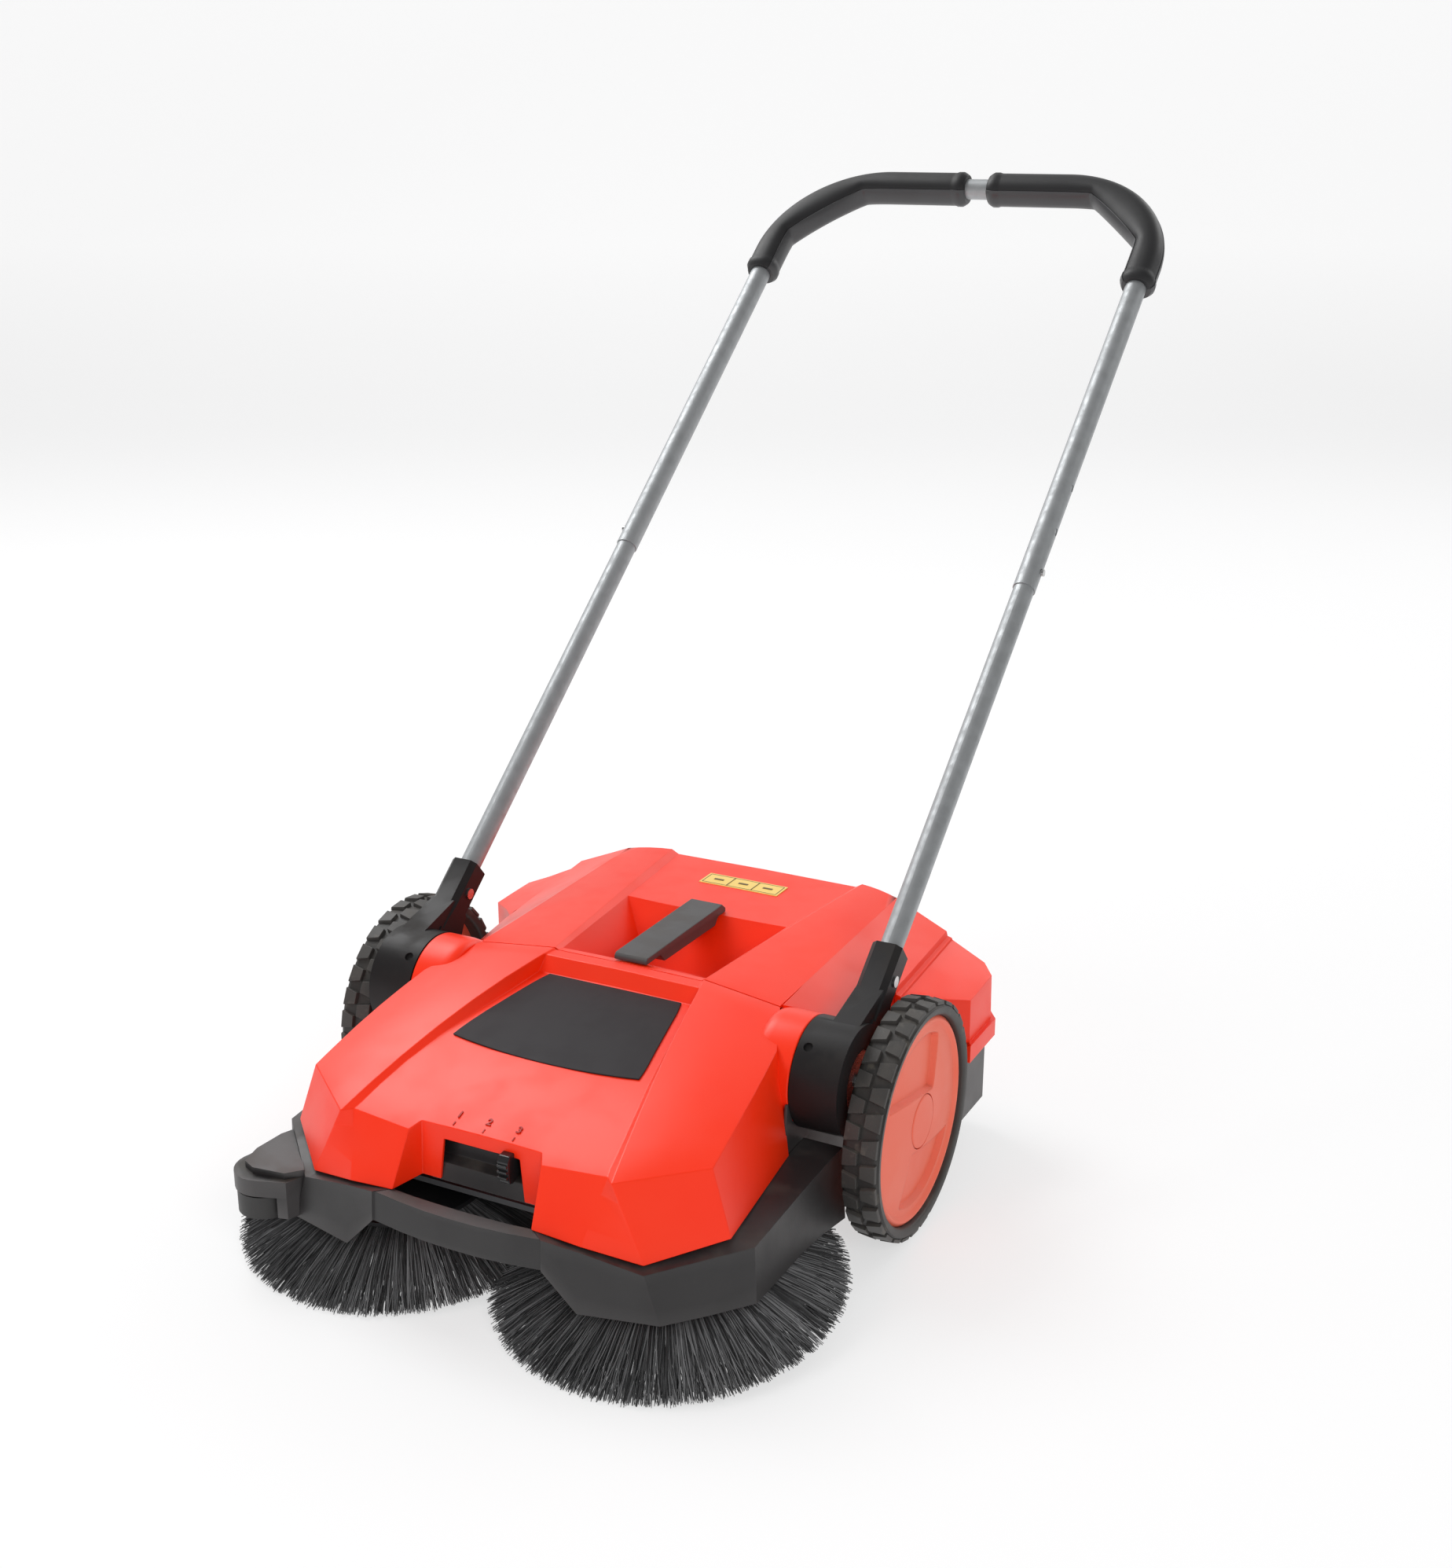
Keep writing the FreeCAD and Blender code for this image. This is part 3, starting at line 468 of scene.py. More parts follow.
def prism(name, outline, low, high, place):
    """A closed outline of (u, v) points between two levels; place puts (u, v, level) in the frame."""
    count = len(outline)
    vertices = [place(u, v, low) for u, v in outline] + [place(u, v, high) for u, v in outline]
    faces = [list(range(count)), list(range(count, 2 * count))]
    faces += [[k, (k + 1) % count, count + (k + 1) % count, count + k] for k in range(count)]
    return add_object(name, vertices, faces)


def tidy_flats(piece):
    """Welds a triangulated mesh and merges the faces that lie in one plane."""
    work = bmesh.new()
    work.from_mesh(piece.data)
    bmesh.ops.remove_doubles(work, verts=work.verts, dist=0.00001)
    bmesh.ops.dissolve_limit(work, angle_limit=math.radians(FLAT_ANGLE), verts=work.verts, edges=work.edges)
    bmesh.ops.recalc_face_normals(work, faces=work.faces)
    work.to_mesh(piece.data)
    work.free()


def refine(node, edge, material=None):
    """A finished copy of a CAD node: clean flats, rounded edges and smooth curves."""
    source = frame["nodes"][node]
    piece = bpy.data.objects.new(node + "_finished", source.data.copy())
    bpy.context.scene.collection.objects.link(piece)
    tidy_flats(piece)
    soften(piece, edge, 30, 2)
    return dress(piece, source["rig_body"], SLOT_OF[node], material, stands_for=(node,))


# ---------------------------------------------------------------- front hood

SEAM_Y = -35.0
HOOD_FRONT = -281.0
RIDGE_X, RIDGE_Z = 75.6, 211
COWL_R = 47.8
PANEL = ((-35.0, 209.4), (-47.0, 208.6), (-56.0, 195.6), (-95.0, 191.7), (-135.0, 186.9), (-175.0, 180.6),
         (-215.0, 170.9), (-246.0, 161.2), (-266.0, 154.4))
LANE = (73.6, 76.6, 79.0, 84.0, 92.0, 100.5, 109.0, 114.6, 117.4)
WING_EDGE = ((151, -40.5, 204), (155.5, -50, 202.4), (160, -60, 200.6), (175, -95, 193), (179.2, -125, 186.4),
             (182.4, -153, 180), (185, -180, 173.2), (187, -205, 166.4), (188.2, -221, 161.8),
             (189, -234, 158))
VALLEY_TOP = (119.5, -273, 151.6)
VALLEY_LOW = (108, -297, 101)
TOOTH_TOP = (62.5, -277, 149)
TOOTH_LOW = (65.4, -299, 105)
NOTCH_TOP = (56.6, -267, 153.6)
NOTCH_LOW = (57.4, -268.5, 106)
PANEL_END = (0, -267, 154.4)
PANEL_END_MID = (NOTCH_TOP[0] * 0.5, -267, 154.2)
LANE_END = (LANE[-1], -266, 154.4)
WINDOW_TOP = (35.7, -267.3, 142.3)
WINDOW_LOW = (39.9, -268.5, 106)
CORNER_LOW = (156, -284, 91)
FLANK_FRONT = (207, -238, 104)
FLANK_REAR = (192, -106, 106)


def panel_height(y):
    for (y0, z0), (y1, z1) in zip(PANEL, PANEL[1:]):
        if y >= y1 or (y1, z1) == PANEL[-1]:
            return mix(z0, z1, (y - y0) / (y1 - y0))
    return PANEL[-1][1]


def hood_ridge(y):
    """Inner edge of the wing, which bulges above a straight line."""
    t = (SEAM_Y - y) / (SEAM_Y - HOOD_FRONT)
    return (mix(RIDGE_X, 127, t), y, mix(RIDGE_Z, 152, t) + 37 * t * (1 - t))


def hood_ridge_points():
    return [hood_ridge(y) for y, _ in PANEL] + [hood_ridge(HOOD_FRONT)]


def hood_panel(sheet):
    rows = []
    for (y, z), edge in zip(PANEL, LANE):
        notch = edge * NOTCH_TOP[0] / LANE[-1]
        rows.append([(0, y, z + 0.8), (notch * 0.5, y, z + 0.7), (notch, y, z + 0.3), (edge, y, z)])
    rows[-1] = [PANEL_END, PANEL_END_MID, NOTCH_TOP, LANE_END]
    sheet.patch(rows)
    sheet.face(NOTCH_TOP, LANE_END, VALLEY_TOP, TOOTH_TOP)
    return [row[-1] for row in rows] + [VALLEY_TOP]


def hood_wing(sheet, ridge):
    rows = []
    for k, (inner, outer) in enumerate(zip(ridge, WING_EDGE)):
        crown = 2.2 if 0 < k < len(ridge) - 1 else 0.0
        rows.append(crowned(inner, outer, crown))
    sheet.patch(rows)
    return rows


def hood_front(sheet, front_row):
    top = [NOTCH_TOP, TOOTH_TOP, VALLEY_TOP, front_row[0]]
    sheet.ruled(top, [NOTCH_LOW, TOOTH_LOW, VALLEY_LOW, CORNER_LOW])
    sheet.ruled(front_row, line(CORNER_LOW, FLANK_FRONT, len(front_row) - 1))


def hood_side(sheet, edge):
    sheet.ruled(edge, line(FLANK_REAR, FLANK_FRONT, len(edge) - 1))


def hood_notch(sheet):
    """Back wall of the notch, with the adjuster window in it."""
    _, y, z = WINDOW_TOP
    under = (PANEL_END_MID[0], y, z)
    sheet.face(PANEL_END, PANEL_END_MID, under, (0, y, z))
    sheet.face(PANEL_END_MID, NOTCH_TOP, WINDOW_TOP, under)
    sheet.ruled([WINDOW_TOP, NOTCH_TOP], [WINDOW_LOW, NOTCH_LOW])


def hood_cowl(side, sign):
    """Round cover over the handle drum, with a rolled shoulder where it rises out of the wing."""
    inner = COWL_R - 3.2
    outer = [(41.0, 151.6), (44.2, 153.0), (46.2, 155.6), (47.3, 159.0), (COWL_R, 164.0), (COWL_R, 187.0),
             (47.2, 188.3), (inner, 188.3), (inner, 160), (41.0, 155.5)]

    def place(radius, along, angle):
        return at(sign * along, PIVOT_Y + radius * math.cos(angle), PIVOT_Z + radius * math.sin(angle))

    piece = lathe("hood_cowl_" + side, outer, place, 128)
    soften(piece, 0)
    return dress(piece, "chassis", "shell_red")


def front_hood():
    sheet = Sheet()
    lane = hood_panel(sheet)
    ridge = hood_ridge_points()
    sheet.patch([[a, b] for a, b in zip(lane, ridge)])
    wing = hood_wing(sheet, ridge)
    hood_front(sheet, wing[-1])
    hood_side(sheet, [row[-1] for row in wing[3:]])
    hood_notch(sheet)
    piece = sheet.build("front_hood_shell", (0, -150, 60))
    thicken(piece, WALL)
    soften(piece, 1.9, 14, 3)
    return dress(piece, "chassis", "shell_red", stands_for=("front_hood",))


# ---------------------------------------------------------------- nameplate and marks


PLATE_REAR, PLATE_FRONT, PLATE_BOW = -58.5, -173.4, 8.0
PLATE_HALF_REAR, PLATE_HALF_FRONT = 67.6, 91.6
PLATE_ROWS, PLATE_COLUMNS = 12, 8
MARKS = ((-28, "1"), (0, "2"), (28, "3"))
DIGIT_Y, DIGIT_SIZE = -256.8, 9.6
TICK_HALF, TICK_REAR, TICK_FRONT = 0.45, -261.0, -264.8


def nameplate():
    """Dark plate let into the hood, with a bowed front edge and rounded corners."""
    sheet = Sheet()
    rows = []
    for k in range(PLATE_ROWS + 1):
        v = k / PLATE_ROWS
        row = []
        for j in range(PLATE_COLUMNS + 1):
            u = j / PLATE_COLUMNS
            end = PLATE_FRONT - PLATE_BOW * (1 - u * u)
            y = mix(PLATE_REAR, end, v)
            half = mix(PLATE_HALF_REAR, PLATE_HALF_FRONT, (y - PLATE_REAR) / (PLATE_FRONT - PLATE_REAR))
            round_off = 3.0 * max(0, u - 0.9) * 10 * (max(0, 0.12 - v) + max(0, v - 0.88)) * 8
            row.append((u * half - round_off * 0.5, y, panel_height(y) + 1.7))
        rows.append(row)
    sheet.patch(rows)
    piece = sheet.build("nameplate_blank", (0, -115, 60))
    thicken(piece, 1.4)
    soften(piece, 0.5, 40, 2)
    return dress(piece, "chassis", "plate_dark", stands_for=("nameplate",))


def number_mark(x, digit):
    """One numeral, laid along the slope of the hood's panel."""
    curve = bpy.data.curves.new("mark_" + digit, "FONT")
    curve.body = digit
    curve.size = DIGIT_SIZE * MM
    curve.extrude = 0.4 * MM
    curve.offset = 0.2 * MM
    curve.align_x = "CENTER"
    text = bpy.data.objects.new("mark_text_" + digit, curve)
    bpy.context.scene.collection.objects.link(text)
    slope = math.atan2(PANEL[-3][1] - PANEL[-1][1], PANEL[-3][0] - PANEL[-1][0])
    place = Matrix.Translation(at(x, DIGIT_Y, panel_height(DIGIT_Y) + 1.2))
    text.matrix_world = place @ Matrix.Rotation(slope, 4, "X")
    bpy.context.view_layer.update()
    graph = bpy.context.evaluated_depsgraph_get()
    mesh = bpy.data.meshes.new_from_object(text.evaluated_get(graph))
    mesh.transform(text.matrix_world)
    bpy.data.objects.remove(text)
    piece = bpy.data.objects.new("mark_number_" + digit, mesh)
    bpy.context.scene.collection.objects.link(piece)
    return dress(piece, "chassis", "shell_red", MARK)


def tick_mark(x, digit):
    """Short line between a numeral and the window."""
    sheet = Sheet(mirrored=False)
    rows = [(y, panel_height(y) + 1.0) for y in (TICK_REAR, TICK_FRONT)]
    sheet.patch([[(x - TICK_HALF, *row), (x + TICK_HALF, *row)] for row in rows])
    tick = sheet.build("mark_tick_" + digit, (x, -263, 0))
    thicken(tick, 0.6)
    return dress(tick, "chassis", "shell_red", MARK)


# ---------------------------------------------------------------- hopper lid

LID_FRONT = -34.0
LID_ROWS = (LID_FRONT, -26, 5, 36, 73, 110, 150, 190, 218)
RECESS_ROWS = LID_ROWS[1:6]
RIDGE_REAR = (105, 235, 210)
CROWN_FRONT_Y = -39
CROWN_REAR = (147, 220, 209)
SLOPE_FRONT_Y, SLOPE_FRONT_Z = 5, 169.8
SLOPE_REAR = (201, 215, 187)
DRUM_SIDE = 186
SEAM_ROW = [(0, LID_FRONT, 209.8), (36, LID_FRONT, 209.6), (72.6, LID_FRONT, 209.2)]
LEDGE_ROW = [(0, -26, 208.8), (36, -26, 208.5)]
RIM_FRONT, RIM_REAR = (72.4, -26.0), (84.2, 110.0)
RECESS_FLOOR = ((44, 14, 158), (44, 74, 158))
RECESS_END = [(0, 110, 206.8), (42, 110, 206.8)]
COWL_WALL_LOW, SIDE_LOW, FLANGE_TOP, FLANGE_LOW = 166.0, 146.0, 116.0, 99.0


def lid_ridge(y):
    t = (y - LID_FRONT) / (RIDGE_REAR[1] - LID_FRONT)
    return (mix(RIDGE_X, RIDGE_REAR[0], t), y, mix(RIDGE_Z, RIDGE_REAR[2], t) + 3.0 * t * (1 - t))


def rim_x(y):
    return mix(RIM_FRONT[0], RIM_REAR[0], (y - RIM_FRONT[1]) / (RIM_REAR[1] - RIM_FRONT[1]))


def crown_edge(y):
    """Line where the lid's wing turns from its nearly flat top to the slope."""
    t = (y - CROWN_FRONT_Y) / (CROWN_REAR[1] - CROWN_FRONT_Y)
    return (mix(150.4, CROWN_REAR[0], t), y, mix(204, CROWN_REAR[2], t))


def slope_height(x, y):
    """Outer slope of the lid's wing, a plane through the crown line and the rear corner."""
    inner = crown_edge(y)
    outer_z = mix(SLOPE_FRONT_Z, SLOPE_REAR[2], (y - SLOPE_FRONT_Y) / (SLOPE_REAR[1] - SLOPE_FRONT_Y))
    return mix(inner[2], outer_z, (x - inner[0]) / (SLOPE_REAR[0] - inner[0]))


def lid_outer(y):
    """Plan line of the lid's side: past the drum, then out to the shelf."""
    return mix(DRUM_SIDE, SLOPE_REAR[0], min(1.0, max(0.0, (y - SLOPE_FRONT_Y) / 57)))


def lid_top(sheet):
    inner, wing = [], []
    for y in LID_ROWS:
        ridge = lid_ridge(y)
        edge = crown_edge(y)
        if y == LID_FRONT:
            edge = (150.2, -39.2, 204)
        if y == LID_ROWS[-1]:
            ridge, edge = RIDGE_REAR, CROWN_REAR
        wing.append(crowned(ridge, edge, 0.0 if y == LID_FRONT else 1.2))
        inner.append(ridge)
    sheet.patch(wing)
    return inner, [row[-1] for row in wing]


def cowl_clear(x):
    """Where the lid's slope meets the round cowl, a small gap behind it."""
    y = -20.0
    for _ in range(12):
        rise = slope_height(x, y) - PIVOT_Z
        y = PIVOT_Y + math.sqrt(COWL_R ** 2 - rise ** 2) + 1.0
    return (x, y, slope_height(x, y))


def lid_slope(sheet, crown):
    front = [(151.5, -35.5, 203.6), (156, -28.5, slope_height(156, -28.5)), cowl_clear(168),
             cowl_clear(DRUM_SIDE)]
    drop_wall(sheet, front, COWL_WALL_LOW)
    corner = (DRUM_SIDE, SLOPE_FRONT_Y, slope_height(DRUM_SIDE, SLOPE_FRONT_Y))
    drop_wall(sheet, [front[-1], corner], SIDE_LOW)
    rows = [front]
    for y, top in list(zip(LID_ROWS, crown))[2:]:
        x = lid_outer(y)
        end = (x, y, slope_height(x, y)) if y != LID_ROWS[-1] else SLOPE_REAR
        rows.append(line(top, end, 3))
    sheet.patch(rows)
    return [row[-1] for row in rows[1:]]


def lid_recess(sheet, ridge):
    """Finger recess with sloping walls, its rim, and the ledge in front of it."""
    rim = [(rim_x(y), y, 208.0 - 0.4 * (y > 50)) for y in RECESS_ROWS]
    sheet.patch([[a, b] for a, b in zip(rim, ridge[1:6])])
    sheet.face(ridge[0], ridge[1], rim[0], SEAM_ROW[-1])
    sheet.patch([SEAM_ROW, LEDGE_ROW + [rim[0]]])
    near, far = RECESS_FLOOR
    reach = RIM_REAR[1] - RIM_FRONT[1]
    foot = [between(near, far, (y - RIM_FRONT[1]) / reach) for y in RECESS_ROWS]
    sheet.patch([[a, b] for a, b in zip(rim, foot)])
    floor_rows = [[(share * x, y, z) for share in (0, 0.5, 1)] for x, y, z in [near, far] + foot]
    sheet.patch([LEDGE_ROW + [rim[0]], floor_rows[0]])
    sheet.patch(floor_rows[2:])
    sheet.patch([floor_rows[1], RECESS_END + [rim[-1]]])
    return rim[-1]


def lid_rear_panel(sheet, corner, ridge):
    """Slightly sunk panel behind the recess."""
    edge = [corner, (88.5, 150, 206.6), (92.5, 190, 206.2), (98, 236, 205.6)]
    centre = [RECESS_END[0]] + [(0, y, z + 0.6) for _, y, z in edge[1:]]
    middle = [RECESS_END[1]] + [between(a, b, 0.5) for a, b in zip(centre[1:], edge[1:])]
    sheet.patch([[a, b, c] for a, b, c in zip(centre, middle, edge)])
    tops = [ridge[5], ridge[6], ridge[7], RIDGE_REAR]
    sheet.patch([[a, b] for a, b in zip(edge, tops)])
    return [centre[-1], middle[-1], edge[-1]]


def lid_shelf(sheet, slope_edge):
    """Lower shelf outside the wing: two steps down, then a tilted face with a chamfered rear corner."""
    drop = 4.6
    tops = [(201, 91, slope_height(201, 91))] + slope_edge[3:]
    steps = [[(x, y, z), (x + 1.2, y, z - drop), (x + 5.2, y, z - drop - 1.0), (x + 6.2, y, z - drop - 3.0)]
             for x, y, z in tops]
    sheet.patch(steps)
    outer = [(230, 118, 163), (254.8, 139.6, 158), (254.6, 165, 159), (254, 196, 160), (240, 214.4, 163)]
    outer = outer[:len(steps)]
    sheet.patch([[row[-1], end] for row, end in zip(steps, outer)])
    return steps, outer


def drop_wall(sheet, tops, bottom):
    """Vertical wall from a line of points down to a level."""
    sheet.patch([tops, [(x, y, bottom) for x, y, _ in tops]])


def lid_walls(sheet, slope_edge, steps, outer, rear):
    """Upright walls under the lid's edges, and the flange that laps over the bin."""
    drop_wall(sheet, SEAM_ROW, 190.0)
    drop_wall(sheet, slope_edge[:3] + [steps[0][0]], SIDE_LOW)
    drop_wall(sheet, steps[0] + [outer[0], outer[1]], FLANGE_TOP)
    back = [(0, 236, rear[0][2]), (rear[1][0], 236, rear[1][2]), rear[2], RIDGE_REAR, CROWN_REAR, SLOPE_REAR]
    back += steps[-1][1:] + [outer[-1], outer[-2], outer[-3], outer[1]]
    plan = [(0, 236), (49, 236), (98, 236), (106, 235), (147, 224), (201, 219)]
    plan += [(x, y + 3) for x, y, _ in steps[-1][1:]]
    plan += [(241, 216), (254.6, 197), (254.8, 166), (255, 140)]
    low = [(x, y, FLANGE_TOP) for x, y in plan]
    sheet.patch([back, low])
    lip = [(0, 240), (50, 240), (100, 240), (108, 238.6), (149, 228), (203, 223), (205, 222.8), (209, 222.5),
           (210, 222.3), (244, 220), (258.6, 199), (258.8, 166), (259, 133)]
    sheet.patch([low] + [[(x, y, level) for x, y in lip] for level in (FLANGE_TOP, FLANGE_LOW)])


def hopper_lid():
    sheet = Sheet()
    ridge, crown = lid_top(sheet)
    slope_edge = lid_slope(sheet, crown)
    corner = lid_recess(sheet, ridge)
    rear = lid_rear_panel(sheet, corner, ridge)
    steps, outer = lid_shelf(sheet, slope_edge)
    lid_walls(sheet, slope_edge, steps, outer, rear)
    piece = sheet.build("hopper_lid_shell", (120, 90, 120))
    thicken(piece, WALL)
    soften(piece, 1.5, 16, 3)
    return dress(piece, "hopper", "shell_red", stands_for=("hopper_lid",))


# ---------------------------------------------------------------- lower frame


def skirt():
    """Dark frame round the front: outer wall, sloping top ledge, and an arch under the middle bar."""
    top = [(0, -312, 103), (25, -311.4, 103), (50, -309.2, 103.2), (78.6, -305.4, 103.6),
           (79.4, -306.8, 103.8), (109, -300.5, 98.5), (160, -291, 87.6), (191, -261, 92.2),
           (223, -230, 96.6), (223.6, -190, 99.8), (224, -150, 102.6), (224.6, -106, 105), (225, -73, 106)]
    inner = [(0, -299), (24, -298.6), (46, -297.8), (64, -296.5), (66, -296), (94, -284), (148, -275),
             (176, -254), (203, -230), (198, -190), (194, -150), (190.5, -108), (189.5, -73)]
    inner_z = [104, 104, 104, 104.4, 104.6, 99.5, 90, 94.5, 101, 103, 104.6, 105.6, 106.4]
    low = [(0, -313.5, 77), (25, -313, 77), (50, -311, 77.4), (78.8, -307.2, 78), (79.6, -308.8, 78),
           (109, -306, 47.6), (174, -291.5, 48), (200, -262, 48), (225, -230.5, 48), (225.4, -190, 48),
           (225.6, -150, 48), (225.8, -110, 44), (226, -66, 36)]
    ledge = [(x, y, z) for (x, y), z in zip(inner, inner_z)]
    sheet = Sheet()
    sheet.patch([ledge, top])
    sheet.patch([line(a, b, 3) for a, b in zip(top, low)])
    sheet.patch([ledge, [(x, y, z - 16) for x, y, z in ledge]])
    sheet.ruled([ledge[-1], top[-1]], [(189.5, -66, 36), low[-1]], 3)
    piece = sheet.build("skirt_shell", (0, -160, 0))
    thicken(piece, 2.6)
    soften(piece, 1.3, 20, 3)
    return dress(piece, "chassis", "dark_plastic", stands_for=("skirt_frame",))


def under_drum(side, sign):
    """Dark wall between the hood's side and the drum, standing on the skirt's ledge."""
    outline = [(-107.5, 103), (-60, 103), (-60, 118), (-82, 121), (-94, 132), (-99, 150), (-104, 150)]
    inner, outer = 186.4, 188.8
    piece = prism("drum_cheek_" + side, outline, inner, outer, lambda y, z, x: at(sign * x, y, z))
    soften(piece, 0.4)
    return dress(piece, "chassis", "dark_plastic")


def guide_arm():
    """The arm, drawn out at its root so that it sinks into the skirt's corner."""
    piece = refine("guide_arm", 1.0)
    root, along = Vector(at(-172, -291.6, 0)), Vector((-52.2, 59.8, 0)).normalized()
    inward = Vector((along.y, -along.x, 0))
    near_root, drawn = 1.6, 9
    for vertex in piece.data.vertices:
        if abs((vertex.co - root).dot(inward)) < near_root * MM:
            vertex.co += inward * drawn * MM
    return piece


def adjuster_window():
    """Dark recess behind the window: a wall set back under the hood and a ledge sloping out below it."""
    profile = [(-264, 150), (-256, 147), (-255, 123), (-264.5, 119.5), (-266.4, 104)]
    sheet = Sheet()
    sheet.patch([[(x, y, z) for y, z in profile] for x in (0, 25, 50)])
    sheet.patch([[(50, y, z) for y, z in profile], [(50, -250, z) for y, z in profile]])
    piece = sheet.build("adjuster_recess", (0, -200, 120))
    thicken(piece, 1.6)
    soften(piece, 1.0, 20, 3)
    return dress(piece, "chassis", "dark_plastic", stands_for=("adjuster_panel",))


KNOB_X, KNOB_HALF = 26, 5.2
RIB_LOW, RIB_PITCH, RIB_INSET = 128.5, 5.0, 0.6


def knob_piece(name, outline, half, edge, segments):
    piece = prism(name, outline, KNOB_X - half, KNOB_X + half, lambda y, z, x: at(x, y, z))
    soften(piece, edge, 30, segments)
    return piece


def adjuster_knob():
    """Small glossy slider with a ribbed head that stands proud of the window."""
    body = frame["nodes"]["adjuster_knob"]["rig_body"]
    slot = SLOT_OF["adjuster_knob"]
    outline = [(-277, 142), (-274, 146.2), (-266, 146.8), (-258, 143), (-258, 125), (-270, 121),
               (-274.5, 122.5), (-276, 128)]
    piece = knob_piece("adjuster_slider", outline, KNOB_HALF, 1.1, 3)
    dress(piece, body, slot, GLOSS, ("adjuster_knob",))
    for k in range(3):
        z = RIB_LOW + RIB_PITCH * k
        rib = [(-278.4, z + 1.2), (-274, z + 1.6), (-274, z - 1.6), (-278.4, z - 1.0)]
        made = knob_piece("slider_rib_" + str(k + 1), rib, KNOB_HALF - RIB_INSET, 0.5, 2)
        dress(made, body, slot, GLOSS)


# ---------------------------------------------------------------- info plate


def info_prints():
    """Border, dividers and one plain bar to a field, printed on the small plate."""
    low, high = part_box("info_plate")
    across, along, top = (high.x - low.x) / MM, (high.y - low.y) / MM, high.z / MM
    middle_y = (low.y + high.y) / 2 / MM - AXLE_Y / MM
    sheet = Sheet(mirrored=False)

    def stroke(p, q, width):
        p, q = Vector(p), Vector(q)
        side = (q - p).normalized().orthogonal() * width / 2
        corners = (p - side, p + side, q + side, q - side)
        sheet.face(*[(v.x, middle_y + v.y, top + 0.12) for v in corners])

    u, v = across / 2 - 2.4, along / 2 - 2.2
    for p, q in (((-u, -v), (u, -v)), ((-u, v), (u, v)), ((-u, -v), (-u, v)), ((u, -v), (u, v)),
                 ((-u / 3, -v), (-u / 3, v)), ((u / 3, -v), (u / 3, v))):
        stroke(p, q, 0.8)
    for x in (-u * 2 / 3, 0, u * 2 / 3):
        stroke((x - 5, 0), (x + 5, 0), 3.0)
    piece = sheet.build("info_prints", (0, 187, 0))
    thicken(piece, 0.25)
    return dress(piece, "hopper", "plate_yellow", PRINT)


# ---------------------------------------------------------------- wheels


def wheel_place(sign):
    def place(radius, along, angle):
        return at(sign * along, radius * math.cos(angle), AXLE_H + radius * math.sin(angle))
    return place


TREAD_BLOCKS = 30
BLOCK_LOW, BLOCK_TOP = TYRE_R - 4.6, TYRE_R - 0.3
BLOCK_FACES = ((0, 1, 2, 3), (4, 5, 6, 7), (0, 1, 5, 4), (1, 2, 6, 5), (2, 3, 7, 6), (3, 0, 4, 7))


def tyre_body(side, sign):
    """Rubber ring with a rounded shoulder, up to the foot of the tread."""
    a, b, r = TYRE_IN, TYRE_OUT, TYRE_R - 3.9
    profile = [(91.5, a + 3), (94, a + 0.6), (99, a), (r - 2.5, a + 0.8), (r - 0.6, a + 2.4), (r, a + 5)]
    profile += [(r, b - 5), (r - 0.6, b - 2.4), (r - 2.5, b - 0.8), (99, b), (94, b - 0.6), (91.5, b - 3)]
    body = lathe("tyre_body_" + side, profile, wheel_place(sign), 160)
    soften(body, 0)
    dress(body, "wheel_" + side, "tyre_black", stands_for=("tyre_" + side,))


def tyre_tread(side, sign):
    """Two rows of staggered, drafted blocks; their outer ends fall away to the shoulder."""
    place = wheel_place(sign)
    pitch = 2 * math.pi / TREAD_BLOCKS
    middle = (TYRE_IN + TYRE_OUT) / 2
    vertices = []
    faces = []
    for row, turn in ((1, 0.0), (-1, 0.5)):
        near, far = middle + row * 1.0, middle + row * 15.2
        for k in range(TREAD_BLOCKS):
            centre = (k + turn) * pitch
            base = len(vertices)
            for radius, draft in ((BLOCK_LOW, 0.0), (BLOCK_TOP, 0.035)):
                for x, spread in ((near, 0.27), (far, 0.40), (far, -0.40), (near, -0.27)):
                    inset = row * draft * 14 * (1 if x == near else -1)
                    fall = 1.1 if (x == far and draft) else 0.0
                    angle = centre + pitch * (spread - math.copysign(draft, spread))
                    vertices.append(place(radius - fall, x + inset, angle))
            faces += [[base + n for n in face] for face in BLOCK_FACES]
    tread = add_object("tyre_tread_" + side, vertices, faces)
    soften(tread, 0.5, 30, 2)
    dress(tread, "wheel_" + side, "tyre_black")


POCKET_LINES = (((-64, 36), (23, 22)), ((23, 22), (38, 62)))
POCKET_R = 76.0
POCKET_EDGE, POCKET_DEEP = 1.7, 5.2
DISC_FACE = TYRE_OUT - 7.0
DISC_DOME_R, DISC_RIM_R = 84.0, 87.2


def pocket_depth(y, z):
    """How deep the wheel disc is sunk at a point: 0 outside the pockets, 1 on their floor."""
    depth = 0.0
    for sign in (1, -1):
        reach = POCKET_R - math.hypot(y, z)
        for (y0, z0), (y1, z1) in POCKET_LINES:
            away = ((z * sign - z0) * (y1 - y0) - (y * sign - y0) * (z1 - z0)) / math.hypot(y1 - y0, z1 - z0)
            reach = min(reach, away)
        t = min(1.0, max(0.0, reach / POCKET_EDGE))
        depth = max(depth, t * t * (3 - 2 * t))
    return depth


def disc_height(radius, angle):
    dome = 5.0 * (1 - (radius / DISC_DOME_R) ** 2) if radius < DISC_DOME_R else 0.0
    rim = 3.4 * max(0.0, 1 - abs(radius - DISC_RIM_R) / 3.4) ** 0.5
    pocket = pocket_depth(radius * math.cos(angle), radius * math.sin(angle)) if radius < 82 else 0.0
    return DISC_FACE + dome + rim - POCKET_DEEP * pocket


